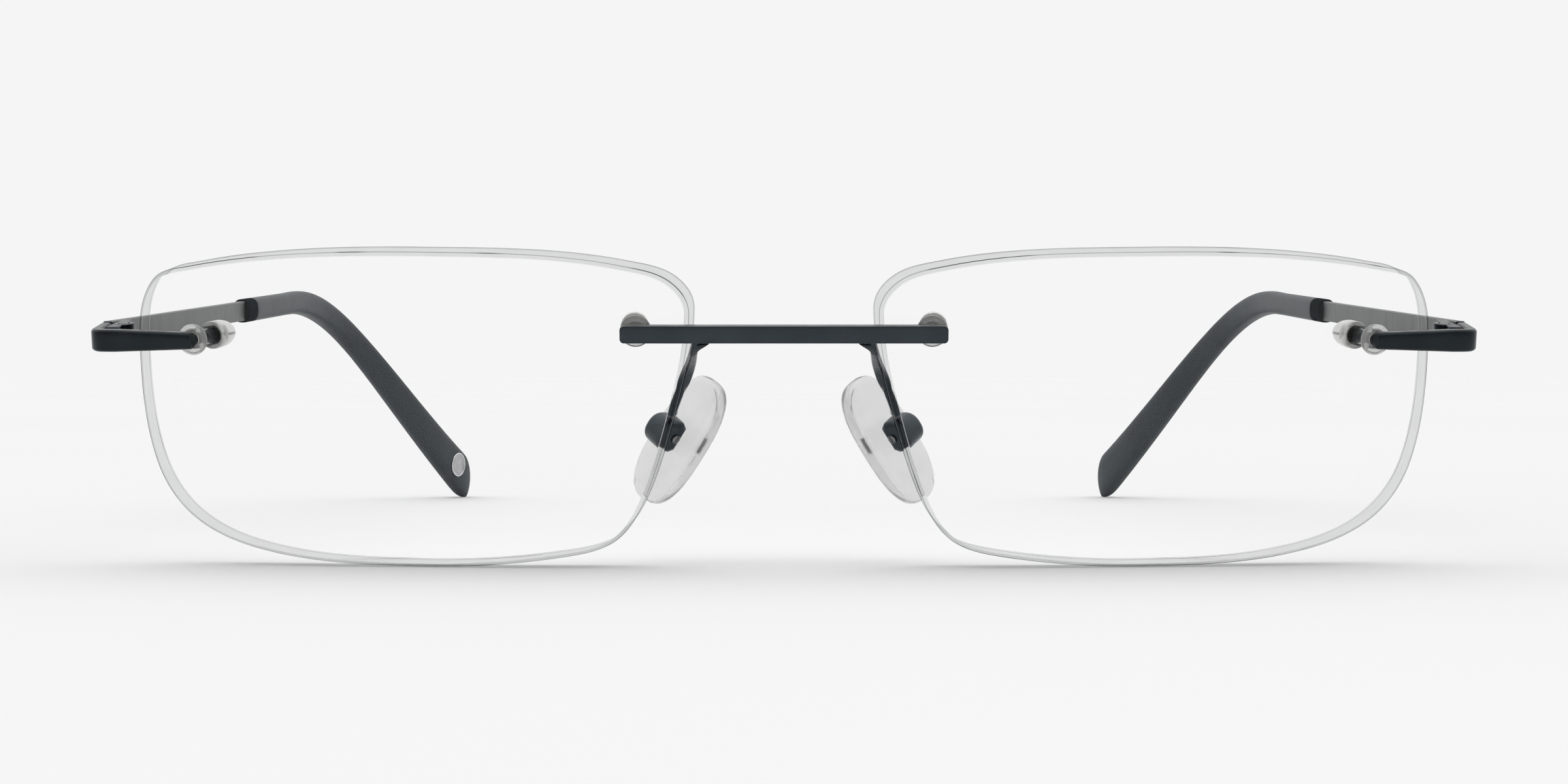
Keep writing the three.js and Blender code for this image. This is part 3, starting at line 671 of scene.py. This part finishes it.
def lens_mesh():
    """A meniscus cut to the outline, with a bevel on both edges and a hole for each mount."""
    outline = lens_outline()
    back_radius = LENS_FRONT_RADIUS - LENS_THICKNESS

    def ring(inset, scale, rear, deeper=0):
        if rear:
            inset *= REAR_BEVEL
            deeper *= REAR_BEVEL
        points = []
        for point, outward in outline:
            x, z = (point - outward * inset) * scale
            distance = math.hypot(x, z)
            depth = LENS_THICKNESS + sag(back_radius, distance) if rear else (
                sag(LENS_FRONT_RADIUS, distance))
            points.append(Vector((x, depth + deeper, z)))
        return points

    # From the middle of the front, over the edge, to the middle of the rear
    scales = [0.02, *evenly(0.08, 0.98, 15)]  # shares of the way out to the bevel
    half = [(ring(BEVEL_WIDTH, scale, False), ring(BEVEL_WIDTH, scale, True), FACE)
            for scale in scales]
    # Out to the outline: the face, a painted highlight line, the edge's painted grey shade, and the
    # rim of painted shade and reflection
    bevel = [(BEVEL_WIDTH, FACE), (BEVEL_WIDTH - GLINT_WIDTH, GLINT), (RIM_WIDTH, EDGE), (0, RIM)]
    for inset, kind in bevel:
        down = BEVEL_DEPTH * (1 - inset / BEVEL_WIDTH)
        half.append((ring(inset, 1, False, down), ring(inset, 1, True, -down), kind))
    rings = [front for front, rear, kind in half] + [rear for front, rear, kind in half[::-1]]
    kinds = [kind for front, rear, kind in half[1:]]
    kinds += [EDGE, *kinds[::-1]]
    mesh = loft(rings)
    sides = len(outline)
    for face in mesh.polygons:
        face.material_index = kinds[face.index // sides] if len(face.vertices) == 4 else FACE
    for material in (LENS_FACE, LENS_EDGE, LENS_RIM, LENS_GLINT):
        mesh.materials.append(material)
    drills = [moved(drill(HOLE_RADIUS, -2, LENS_THICKNESS + 2), mount_frame(mount))
              for mount in (NASAL_MOUNT, TEMPORAL_MOUNT)]
    mesh = worked(mesh, drills)
    # The walls of the holes are the faces that don't look along the lens's axis; they take the
    # edge's painted grey shade
    centre = Vector((0, LENS_FRONT_RADIUS, 0))
    square_on = 0.9
    for face in mesh.polygons:
        towards = (centre - face.center).normalized()
        if face.material_index == FACE and abs(face.normal.dot(towards)) < square_on:
            face.material_index = EDGE
    return mesh


# ------------------------ lens mounts

CAP_SHOULDER = 0.3  # of its length, where the dome starts
CAP_CORNER = 0.12
CAP_CORNER_MIDDLE = 0.04
CAP_BORE_CORNER = 0.1


def build_mount(side_name, place, mount):
    """Washer, bush, post, nut and cap, all along y from the lens's front surface."""
    side = SIDES[side_name]
    at = LENS @ mount_frame(mount)
    back = LENS_THICKNESS + FIT
    nut_end = back + NUT_LENGTH
    post_end = nut_end + POST_PAST_NUT
    cap_end = back + CAP_LENGTH
    front = -FIT - WASHER_THICKNESS

    def put(part, mesh, material):
        piece(f"{side_name}_{place}_{part}", mesh, at, side, "front", material)

    round_post = POST_RADIUS + FIT
    put("washer", soft_ring(round_post, WASHER_RADIUS, front, -FIT, soft=0.14), CLEAR_PLASTIC)
    put("bush", soft_ring(round_post, HOLE_RADIUS - FIT, FIT, LENS_THICKNESS - FIT, soft=0.05),
        CLEAR_BUSH)
    put("post", soft_rod(POST_RADIUS, front, post_end, soft=0.1), BLACK_METAL)
    put("nut", soft_ring(round_post, NUT_RADIUS, back, nut_end, soft=0.07), DARK_STEEL)
    shoulder = back + CAP_SHOULDER * CAP_LENGTH
    dome = [(CAP_RADIUS * math.cos(angle), shoulder + (cap_end - shoulder) * math.sin(angle))
            for angle in evenly(0, math.pi / 2, 12)]
    bore = NUT_RADIUS + FIT
    bore_end = post_end + FIT
    rim = [(CAP_RADIUS - CAP_CORNER, back),
           (CAP_RADIUS - CAP_CORNER_MIDDLE, back + CAP_CORNER_MIDDLE),
           (CAP_RADIUS, back + CAP_CORNER)]
    put("cap", turned([(0, bore_end), (bore - CAP_BORE_CORNER, bore_end),
                       (bore, bore_end - CAP_BORE_CORNER), (bore, back), *rim, *dome[:-1],
                       (0, cap_end)]), CLEAR_PLASTIC)


# ------------------------ bridge

BAR_CORNER = 0.4
BAR_BEVEL = 0.16
# The arm's middle line, in the front's frame: out from the nose, back from the lenses, and up
ARM_ROOT = 8.25
ARM_INTO_BAR = 0.04
ARM_LEAVES = (8.8, 0.1, -1.6)  # its back is from the bar's middle, its up from the bar's underside
ARM_SWEEP = [(8.6, 6.2, 4.2), (10.15, 6.05, 0.4)]
ARM_IN_CUP = [(10.8, 6.1, -1.3), (11.0, 6.15, -1.85)]
ARM_WIDTHS = (0.85, 1.65)  # at the bar and at the cup, as shares of ARM_WIDTH
ARM_CORNER = 0.26
FILLET_LENGTH = 1.5
FILLET_WIDTH = 1.7
NECK_LENGTH = 1.6
NECK_WIDTH = 0.5


def bridge_bar():
    outline = rounded_rectangle(2 * BAR_HALF_LENGTH, BAR_HEIGHT, BAR_CORNER)
    rings = [[Vector((x, y, z)) for x, z in outline] for y in (-BAR_DEPTH / 2, BAR_DEPTH / 2)]
    bar = worked(loft(rings), bevel=BAR_BEVEL)
    return moved(bar, Matrix.Translation((0, BAR_BACK - BAR_DEPTH / 2, BAR_UP)))


def arm_path():
    """From the underside of the bar in a long sweep, and straight into the cup."""
    below = BAR_UP - BAR_HEIGHT / 2 - FIT
    in_bar = BAR_BACK - BAR_DEPTH / 2
    out, back, up = ARM_LEAVES
    sweep = [Vector((ARM_ROOT, in_bar, below + FIT + ARM_INTO_BAR)),
             Vector((out, in_bar + back, below + up)), *map(Vector, ARM_SWEEP)]
    return Path([*bezier(sweep, 30), *map(Vector, ARM_IN_CUP)])


def pad_arm():
    """A bent wire from the underside of the bar, filleted into it, back and down to the pad cup."""
    path = arm_path()
    rings = []
    for distance in evenly(0, path.length, 90):
        near_bar = max(0, 1 - distance / FILLET_LENGTH)
        near_cup = max(0, 1 - (path.length - distance) / NECK_LENGTH)
        fillet = FILLET_WIDTH * near_bar ** 2.5
        neck = NECK_WIDTH * near_cup ** 2
        width = ARM_WIDTH * lerp(*ARM_WIDTHS, distance / path.length)
        section = rounded_rectangle(width + fillet + neck, ARM_WIDTH, ARM_CORNER)
        ring = path.ring(distance, [(a + fillet / 2, b) for a, b in section])
        # Near the bar the rings lie level, so the wide fillet meets its underside flat
        middle = path.ring(distance, [(0, 0)])[0]
        for point in ring:
            point.z = lerp(point.z, middle.z, near_bar)
        rings.append(ring)
    return loft(rings)


# ------------------------ nose pads

def along_screw(mesh):
    """Turns a piece from the y axis onto the pad screw's axis."""
    return moved(mesh, Matrix.Rotation(-math.pi / 2, 4, "Z"))


CUP_SOFT = 0.6  # rounding of the cup's back and of its side faces' edges
CUP_CHAMFER = 0.4
POCKET_ABOVE = 1.3  # the cup's wall above, below and behind its pocket, in CUP_WALLs
POCKET_BEHIND = 2.1


def pad_cup():
    """A little box with a rounded back, open towards the pad."""
    half = CUP_HEIGHT / 2
    lower = bezier([Vector((-CUP_BACK, 0)), Vector((-CUP_BACK, CUP_SOFT - half)),
                    Vector((CUP_SOFT - CUP_BACK, -half)), Vector((CUP_RIM - CUP_SOFT, -half))], 14)
    upper = [Vector((y, -z)) for y, z in reversed(lower[1:])]
    rim = [Vector((CUP_RIM, CUP_CHAMFER - half)), Vector((CUP_RIM, half - CUP_CHAMFER))]
    outline = [*lower, *rim, *upper]
    middle = (CUP_RIM - CUP_BACK) / 2
    depth = (CUP_RIM + CUP_BACK) / 2
    rings = []
    for side, start, end in ((-1, 0, 90), (1, 90, 0)):
        for angle in evenly(math.radians(start), math.radians(end), 7):
            inset = CUP_SOFT * (1 - math.sin(angle))
            x = side * (CUP_WIDTH / 2 - CUP_SOFT * (1 - math.cos(angle)))
            rings.append([Vector((x, middle + (y - middle) * (1 - inset / depth),
                                  z * (1 - inset / half))) for y, z in outline])
    body = loft(rings)
    wide = CUP_WIDTH / 2 - CUP_WALL
    high = half - POCKET_ABOVE * CUP_WALL
    pocket = block((-wide, POCKET_BEHIND * CUP_WALL - CUP_BACK, -high), (wide, CUP_RIM + 1, high))
    return worked(body, [pocket, along_screw(drill(PAD_SCREW_RADIUS + FIT))])


HEAD_RADIUS = 0.45
HEAD_HEIGHT = 0.16
HEAD_SLOT = 0.06  # half its width
HEAD_SLOT_DEPTH = 0.07
SHANK_CHAMFER = 0.04


def pad_screw():
    """A small screw across the cup, with a slotted head."""
    face = -CUP_WIDTH / 2 - FIT
    head = face - HEAD_HEIGHT
    end = CUP_WIDTH / 2
    radius = PAD_SCREW_RADIUS
    profile = [(0, head), (0.36, head), (0.43, head + 0.03), (HEAD_RADIUS, head + 0.08),
               (HEAD_RADIUS, face), (radius, face), (radius, end - SHANK_CHAMFER),
               (radius - SHANK_CHAMFER, end), (0, end)]
    slot = block((-HEAD_SLOT, head - 1, -1), (HEAD_SLOT, head + HEAD_SLOT_DEPTH, 1))
    return along_screw(worked(turned(profile), [slot]))


PAD_RIM = 0.15  # half the upright part of its edge
PAD_DOME = 1.0  # how far in the rounding of its edge reaches
PAD_CROWN = 0.1
BOSS_BEVEL = 0.12


def nose_pad():
    """An oval pad with rounded edges and a crowned face, and the boss the screw goes through."""
    near = CUP_RIM + CUP_GAP
    half_thick = PAD_THICKNESS / 2
    middle = near + half_thick
    rise = half_thick - PAD_RIM
    inner = [0.1, 0.4, 0.7]  # shares of the way out to the rounding

    def ring(inset, share, y):
        outline = oval((PAD_WIDTH - 2 * inset) * share, (PAD_LENGTH - 2 * inset) * share)
        return [Vector((x, middle + y, z + BOSS_UP)) for x, z in outline]

    rings = [ring(PAD_DOME, share, -half_thick) for share in inner]
    for angle in evenly(math.pi / 2, 0, 7):
        inset = PAD_DOME * (1 - math.cos(angle))
        rings.append(ring(inset, 1, -PAD_RIM - rise * math.sin(angle)))
    for angle in evenly(0, math.pi / 2, 7):
        inset = PAD_DOME * (1 - math.cos(angle))
        rings.append(ring(inset, 1, PAD_RIM + (rise - PAD_CROWN) * math.sin(angle)))
    for share in reversed(inner):
        rings.append(ring(PAD_DOME, share, half_thick - PAD_CROWN * share ** 2))
    half = CUP_WIDTH / 2 - CUP_WALL - 2 * RUNNING
    boss = worked(block((-half, -BOSS_END, -BOSS_END), (half, near + CUP_GAP, BOSS_END)),
                  bevel=BOSS_BEVEL)
    joined = worked(loft(rings), [boss], "UNION")
    return worked(joined, [along_screw(drill(PAD_SCREW_RADIUS + RUNNING))])


# ------------------------ end pieces and hinges

END_PAST_SCREW = 0.5  # how far the end piece reaches past its seat on the washer
END_TURN = 1.0  # how far from the corner its bend starts
END_NOSE = 0.35  # the length over which its inner end rounds off
END_NOSE_DROP = 0.3  # by what share of its height
END_GROWS = 0.6  # the share of its length over which it gets higher
END_TRIM = 0.06
END_CORNER = 0.28
END_CROWN = 0.2


def end_piece_path(hinge):
    """From the temporal mount outwards, round the corner, and back to the hinge."""
    mount = lens_frame() @ mount_frame(TEMPORAL_MOUNT)
    inward = mount.to_3x3() @ Vector((0, 1, 0))
    outward = Vector((inward.y, -inward.x, 0)).normalized()
    stand_off = 2 * FIT + WASHER_THICKNESS + STRIP_THICKNESS / 2
    seat = mount.translation - inward * stand_off
    inner_end = seat - outward * END_PAST_SCREW
    side = OUTER_HALF_WIDTH - STRIP_THICKNESS / 2
    outward.z = (hinge.z - seat.z) / (side - seat.x)
    corner = seat + outward * ((side - seat.x) / outward.x)
    before = corner - outward * END_TURN
    after = Vector((side, corner.y + END_TURN, corner.z))
    hinge_end = Vector((side, hinge.y - RUNNING, hinge.z))
    return Path([inner_end, *bezier([before, corner, after], 24), hinge_end])


def end_piece(hinge):
    """A strip with a crowned outer face, from the temporal mount to the hinge."""
    path = end_piece_path(hinge)
    rings = []
    stations = [0, 0.06, 0.16, END_NOSE, *evenly(END_NOSE, path.length - 0.08, 60)[1:],
                path.length]
    for distance in stations:
        grown = min(1, distance / (END_GROWS * path.length))
        height = lerp(END_HEIGHT_INNER, END_HEIGHT_OUTER, grown)
        closing = max(0, 1 - distance / END_NOSE)
        height -= END_NOSE_DROP * (1 - math.sqrt(1 - closing ** 2)) * END_HEIGHT_INNER
        trim = END_TRIM if distance == path.length else 0
        section = rounded_rectangle(STRIP_THICKNESS - trim, height - trim, END_CORNER)
        crowned = [(a - END_CROWN * (1 - (2 * b / height) ** 2) if a < 0 else a, b)
                   for a, b in section]
        rings.append(path.ring(distance, crowned))
    return loft(rings)


def upright(mesh):
    """Turns a piece from the y axis onto the hinge's axis."""
    return moved(mesh, Matrix.Rotation(math.pi / 2, 4, "X"))


HINGE_SEGMENTS = 40
MIDDLE = KNUCKLE_HEIGHT / 2
OUTER_FROM = MIDDLE + RUNNING
OUTER_TO = OUTER_FROM + KNUCKLE_HEIGHT
SLOT = KNUCKLE_RADIUS + 1.5 * RUNNING  # the room a knuckle turns in
STEP = 0.02  # between faces of the leaves and knuckles, so that no two lie in one plane
LEAF_INNER = -0.1
FRONT_LEAF = (-2.3, -0.3)  # from and to, along the strip
FRONT_LEAF_BEVEL = 0.1
REAR_LEAF_END = 2.8
REAR_LEAF_HALF_HEIGHT = 0.9
REAR_LEAF_SOFT = 0.12  # its bevel, and how far it stands in from the front leaf's outer face
WEB_FROM = 0.2
WEB_OVERLAP = 0.5
HINGE_SLOT = 0.09  # half the width of the screw's slot
HINGE_SLOT_DEPTH = 0.16


def knuckle(low, high):
    return upright(soft_rod(KNUCKLE_RADIUS, low, high, soft=0.07, segments=HINGE_SEGMENTS))


def hinge_bore():
    return upright(drill(HINGE_SCREW_RADIUS + RUNNING, segments=HINGE_SEGMENTS))


def hinge_front(leaf_outer):
    """The leaf on the end piece, with the top and bottom knuckles."""
    high = OUTER_TO - STEP
    start, end = FRONT_LEAF
    leaf = worked(block((LEAF_INNER, start, -high), (leaf_outer, end, high)),
                  bevel=FRONT_LEAF_BEVEL)
    free = OUTER_FROM - STEP
    clearance = block((-2, -SLOT, -free), (2, SLOT, free))
    knuckles = [knuckle(OUTER_FROM, OUTER_TO), knuckle(-OUTER_TO, -OUTER_FROM)]
    return joined_up(worked(worked(leaf, knuckles, "UNION"), [clearance, hinge_bore()]))


def hinge_rear(leaf_outer):
    """The leaf on the temple, with the middle knuckle."""
    high = REAR_LEAF_HALF_HEIGHT
    outer = leaf_outer - REAR_LEAF_SOFT
    leaf = worked(block((LEAF_INNER, SLOT, -high), (outer, REAR_LEAF_END, high)),
                  bevel=REAR_LEAF_SOFT)
    thick = MIDDLE - STEP
    web = block((LEAF_INNER + STEP, WEB_FROM, -thick), (outer - STEP, SLOT + WEB_OVERLAP, thick))
    body = worked(leaf, [web, knuckle(-MIDDLE, MIDDLE)], "UNION")
    return joined_up(worked(body, [hinge_bore()]))


def hinge_screw():
    """A slotted screw, flush with the top knuckle."""
    top = OUTER_TO + FIT / 2
    low = -OUTER_TO - 4 * FIT
    radius = HINGE_SCREW_RADIUS
    profile = [(0, low), (radius - 0.08, low), (radius, low + 0.08), (radius, top - 0.05),
               (radius - 0.05, top), (0, top)]
    slot = block((-1, -HINGE_SLOT, top - HINGE_SLOT_DEPTH), (1, HINGE_SLOT, top + 1))
    return worked(upright(turned(profile, HINGE_SEGMENTS)), [slot])


# ------------------------ temples

STRAIGHT_END = 0.5  # the straight stretch stops this far before the bend's curve
STRIP_CORNER = 0.14
STRIP_TRIM = 0.12
TRIMMED_CORNER = 0.12
CORE_CORNER = 0.16
BORE_CORNER = 0.18


def temple_path():
    """The temple's centre line from the hinge: straight back, then down and in behind the ear."""
    side = OUTER_HALF_WIDTH - STRIP_THICKNESS / 2 - joint_at("left_temple_fold").x
    end = Vector((side - TIP_TOE_IN, TIP_REACH, -TIP_DROP))
    bend = Vector((side, BEND_START, 0))
    curve = bezier([bend, bend + Vector((0, BEND_HANDLES[0], 0)),
                    end - TIP_HEADING * BEND_HANDLES[1], end], 90)
    return Path([Vector((side, 0, 0)), bend - Vector((0, STRAIGHT_END, 0)), *curve])


def temple_strip(path):
    """A flat strip that steps down to the thin core inside the tip sleeve."""
    start = 2 * RUNNING
    shoulder = COLLAR_START - FIT
    chamfer = STRIP_TRIM / 2
    strip = rounded_rectangle(TEMPLE_THICKNESS, TEMPLE_HEIGHT, STRIP_CORNER)
    trimmed = rounded_rectangle(TEMPLE_THICKNESS - STRIP_TRIM, TEMPLE_HEIGHT - STRIP_TRIM,
                                TRIMMED_CORNER)
    core = rounded_rectangle(CORE_THICKNESS, CORE_HEIGHT, CORE_CORNER)
    rings = [path.ring(start, trimmed), path.ring(start + chamfer, strip)]
    rings += [path.ring(d, strip) for d in evenly(2, shoulder - chamfer, 12)]
    rings += [path.ring(shoulder, trimmed), path.ring(shoulder, core)]
    rings += [path.ring(d, core) for d in evenly(shoulder + 1, CORE_END, 50)]
    return loft(rings)


def core_bore(path, distance):
    """The section of the hole that the core runs in, with as many points as the outside."""
    section = rounded_rectangle(CORE_THICKNESS + CORE_PLAY, CORE_HEIGHT + CORE_PLAY, BORE_CORNER,
                                SEGMENTS // 4 - 1)
    lead = SEGMENTS // 8
    return path.ring(distance, section[-lead:] + section[:-lead])


def smoothstep(value, low, high):
    share = min(1, max(0, (value - low) / (high - low)))
    return share * share * (3 - 2 * share)


SWELL_BEFORE = 6  # where the sleeve's swelling starts and ends, from the bend's start
SWELL_AFTER = 18
TOP_AT_POINT = -0.7  # the upper edge at the very end, in half heights
WIDTH_AT_POINT = 0.45  # as a share of the full width


def sleeve_height(distance, length):
    """The sleeve swells a little into the bend and broadens towards the end."""
    bend = smoothstep(distance, BEND_START - SWELL_BEFORE, BEND_START + SWELL_AFTER)
    broadening = max(0, (distance - BROADEN_FROM) / (length - BROADEN_FROM))
    return lerp(SLEEVE_HEIGHT, BEND_HEIGHT, bend) + (TIP_HEIGHT - BEND_HEIGHT) * broadening ** 1.5


def sleeve_section(distance, length):
    """At the end the upper edge rounds over, and the lower edge stays straight to the point."""
    half = sleeve_height(distance, length) / 2
    share = (distance - SLEEVE_START) / (length - SLEEVE_START)
    width = lerp(SLEEVE_WIDTH, TIP_WIDTH, share)
    past = max(0, 1 - (length - distance) / END_ROUNDING)
    closing = math.sqrt(1 - past ** 2)
    top = lerp(TOP_AT_POINT * half, half, closing)
    bottom = -half + END_POINT * past ** 4
    return oval(width * lerp(WIDTH_AT_POINT, 1, closing), top - bottom, (top + bottom) / 2)


def medallion_frame(path):
    """On the tip's inner face, with y pointing out of it."""
    point, along = path.at(path.length - MEDALLION_AT)
    inward = Vector((0, 0, 1)).cross(along).normalized()
    turn = Vector((0, 1, 0)).rotation_difference(inward)
    return Matrix.Translation(point + inward * TIP_WIDTH / 2) @ turn.to_matrix().to_4x4()


SLEEVE_ROUNDING = 0.12
COLLAR_ROUNDING = 0.25


def tip_sleeve(path, with_recess):
    """The sleeve from its bore, round its mouth and along its outside to the point."""
    length = path.length
    inside = [core_bore(path, d) for d in evenly(CORE_END + CORE_END_PLAY, SLEEVE_START, 40)]
    mouth = []
    for angle in evenly(0, math.pi / 2, 3):
        inset = 2 * SLEEVE_ROUNDING * (1 - math.sin(angle))
        section = oval(SLEEVE_WIDTH - inset, SLEEVE_HEIGHT - inset)
        mouth.append(path.ring(SLEEVE_START + SLEEVE_ROUNDING * (1 - math.cos(angle)), section))
    body = evenly(SLEEVE_START + 1, length - END_ROUNDING, 70)
    turns = [length - END_ROUNDING * (1 - math.sin(a)) for a in evenly(0, math.pi / 2, 14)[1:]]
    outside = [path.ring(d, sleeve_section(d, length)) for d in body + turns]
    sleeve = loft(inside + mouth + outside)
    if not with_recess:
        return sleeve
    recess = drill(MEDALLION_RADIUS + FIT, -MEDALLION_THICKNESS, 1)
    return worked(sleeve, [moved(recess, medallion_frame(path))])


def tip_collar(path):
    """A ring with rounded ends, between the strip's shoulder and the sleeve."""
    end = SLEEVE_START - FIT
    rings = []
    for centre, low, high in ((COLLAR_START + COLLAR_ROUNDING, 0, 90),
                              (end - COLLAR_ROUNDING, 90, 180)):
        for angle in evenly(math.radians(low), math.radians(high), 6):
            inset = 2 * COLLAR_ROUNDING * (1 - math.sin(angle))
            section = oval(SLEEVE_WIDTH - inset, COLLAR_HEIGHT - inset)
            rings.append(path.ring(centre - COLLAR_ROUNDING * math.cos(angle), section))
    inside = [core_bore(path, d) for d in (end, COLLAR_START)]
    return loft(rings + inside, tube=True)


BADGE_RIM = 0.89  # of the radius, where the bright rim starts


def medallion():
    """A plain round badge: a raised rim in brighter steel, which is a painted highlight, and one
    low ring in its sunken face.
    """
    low = FIT - MEDALLION_THICKNESS
    r = MEDALLION_RADIUS
    badge = turned([
        (0, low), (r, low), (r, 0.01), (r - 0.04, 0.05), (0.92 * r, 0.05), (0.9 * r, 0.03),
        (0.88 * r, -0.04), (0.7 * r, -0.04), (0.68 * r, 0), (0.64 * r, 0), (0.62 * r, -0.04),
        (0.2 * r, -0.03), (0, -0.02),
    ], 64)
    badge.materials.append(BADGE_STEEL)
    badge.materials.append(RIM_HIGHLIGHT_STEEL)
    # The rim's faces take the brighter steel, a painted highlight
    for face in badge.polygons:
        face.material_index = int(math.hypot(face.center.x, face.center.z) > BADGE_RIM * r)
    return badge


# ------------------------ assembly

def build_half(name):
    """Every piece of one side. The part's numbers are for the left, and piece() mirrors them."""
    side = SIDES[name]
    hinge = HINGE.translation
    hinge_in_front = FRONT.inverted() @ hinge
    leaf_outer = OUTER_HALF_WIDTH - STRIP_THICKNESS - FIT - hinge.x
    path = temple_path()
    badged = name == "right"
    temple = name + "_temple"
    lens = piece(name + "_lens", lens_mesh(), LENS, side, "front", LENS_FACE, 14)
    centre = LENS @ Vector((0, LENS_FRONT_RADIUS, 0)) * MM
    true_sphere(lens, Vector((side * centre.x, centre.y, centre.z)))
    build_mount(name, "nasal", NASAL_MOUNT)
    build_mount(name, "temporal", TEMPORAL_MOUNT)
    piece(name + "_pad_arm", pad_arm(), FRONT, side, "front", BLACK_METAL)
    piece(name + "_pad_cup", pad_cup(), PAD, side, "front", BLACK_METAL)
    piece(name + "_pad_screw", pad_screw(), PAD, side, "front", SCREW_STEEL)
    piece(name + "_nose_pad", nose_pad(), PAD, side, name + "_pad", SILICONE)
    piece(name + "_end_piece", end_piece(hinge_in_front), FRONT, side, "front", END_METAL_PAINTED_SHADE)
    piece(name + "_hinge_front", hinge_front(leaf_outer), HINGE, side, "front", END_METAL_PAINTED_SHADE)
    piece(name + "_hinge_screw", hinge_screw(), HINGE, side, "front", SCREW_STEEL)
    piece(name + "_hinge_rear", hinge_rear(leaf_outer), HINGE, side, temple, END_METAL_PAINTED_SHADE)
    piece(temple, temple_strip(path), TEMPLE, side, temple, BRUSHED_STEEL)
    piece(name + "_tip_collar", tip_collar(path), TEMPLE, side, temple, COLLAR)
    piece(name + "_tip_sleeve", tip_sleeve(path, badged), TEMPLE, side, temple, SLEEVE)
    if badged:
        at = TEMPLE @ medallion_frame(path)
        piece("right_tip_medallion", medallion(), at, side, temple, BADGE_STEEL)


piece("bridge_bar", bridge_bar(), FRONT, 1, "front", BLACK_METAL)
build_half("left")
build_half("right")


# ------------------------ stage, light and camera

FLOOR_RADIUS = 30
BACKDROP = 0.913  # the pale studio grey, as light
BEHIND_CAMERA = 0.3
OVERHEAD = 1.7  # times the backdrop
CAMERA_DISTANCE = 218
CAMERA_HEIGHT = 18.33
FOCAL_LENGTH = 52.65
SENSOR_WIDTH = 36
VIEW_SHIFT = -0.00904  # of the frame's width, upwards


def build_floor():
    bm = bmesh.new()
    bmesh.ops.create_circle(bm, cap_ends=True, segments=96, radius=FLOOR_RADIUS)
    mesh = bpy.data.meshes.new("floor")
    bm.to_mesh(mesh)
    bm.free()
    finish = Finish("floor", Roughness=0.9, Specular_IOR_Level=0.0)
    finish.colour(finish.noise(400, 2), (0.3, "ebebeb"), (0.7, "ededed"))
    mesh.materials.append(finish.material)
    floor = bpy.data.objects.new("floor", mesh)
    bpy.context.scene.collection.objects.link(floor)


def build_studio():
    """Even light from all round, brighter overhead and darker behind the camera."""
    world = bpy.data.worlds.new("studio")
    bpy.context.scene.world = world
    world.use_nodes = True
    tree = world.node_tree
    place = tree.nodes.new("ShaderNodeTexCoord")
    split = tree.nodes.new("ShaderNodeSeparateXYZ")
    tree.links.new(place.outputs["Generated"], split.inputs["Vector"])

    def band(axis, low, high, dark, bright):
        node = tree.nodes.new("ShaderNodeMapRange")
        node.interpolation_type = "SMOOTHSTEP"
        for socket, value in (("From Min", low), ("From Max", high), ("To Min", dark),
                              ("To Max", bright)):
            node.inputs[socket].default_value = value
        tree.links.new(split.outputs[axis], node.inputs["Value"])
        return node.outputs["Result"]

    def times(a, b):
        node = tree.nodes.new("ShaderNodeMath")
        node.operation = "MULTIPLY"
        tree.links.new(a, node.inputs[0])
        tree.links.new(b, node.inputs[1])
        return node.outputs["Value"]

    shaped = times(band("Y", -0.9, 0.1, BEHIND_CAMERA, BACKDROP),
                   band("Z", 0.25, 0.95, 1, OVERHEAD))
    # What is seen directly or through the clear parts is the plain backdrop, on every side
    light = tree.nodes.new("ShaderNodeLightPath")
    seen = tree.nodes.new("ShaderNodeMath")
    seen.operation = "MAXIMUM"
    tree.links.new(light.outputs["Is Camera Ray"], seen.inputs[0])
    tree.links.new(light.outputs["Is Transmission Ray"], seen.inputs[1])
    level = tree.nodes.new("ShaderNodeMix")
    level.inputs["B"].default_value = BACKDROP
    tree.links.new(seen.outputs["Value"], level.inputs["Factor"])
    tree.links.new(shaped, level.inputs["A"])
    background = tree.nodes["Background"]
    tree.links.new(level.outputs["Result"], background.inputs["Strength"])
    background.inputs["Color"].default_value = (1, 1, 1, 1)


def build_lamp(name, place, aim, size, power):
    data = bpy.data.lights.new(name, "AREA")
    data.shape = "RECTANGLE"
    data.size, data.size_y = size
    data.energy = power
    lamp = bpy.data.objects.new(name, data)
    lamp.location = place
    lamp.rotation_euler = (Vector(aim) - Vector(place)).to_track_quat("-Z", "Y").to_euler()
    bpy.context.scene.collection.objects.link(lamp)


def build_camera():
    """Level, low and close, looking straight at the front of the glasses."""
    data = bpy.data.cameras.new("camera")
    data.sensor_width = SENSOR_WIDTH
    data.lens = FOCAL_LENGTH
    data.shift_y = VIEW_SHIFT
    data.clip_start = 0.01
    data.clip_end = 200
    camera = bpy.data.objects.new("camera", data)
    camera.location = (0, (FRONT.translation.y - CAMERA_DISTANCE) * MM, CAMERA_HEIGHT * MM)
    camera.rotation_euler = (math.radians(90), 0, 0)
    bpy.context.scene.collection.objects.link(camera)
    bpy.context.scene.camera = camera


build_floor()
build_studio()
build_lamp("overhead", (0.1, -0.05, 0.7), (0, 0, 0), (0.7, 0.5), 0.02)
build_camera()
bpy.context.scene.view_settings.view_transform = "Standard"
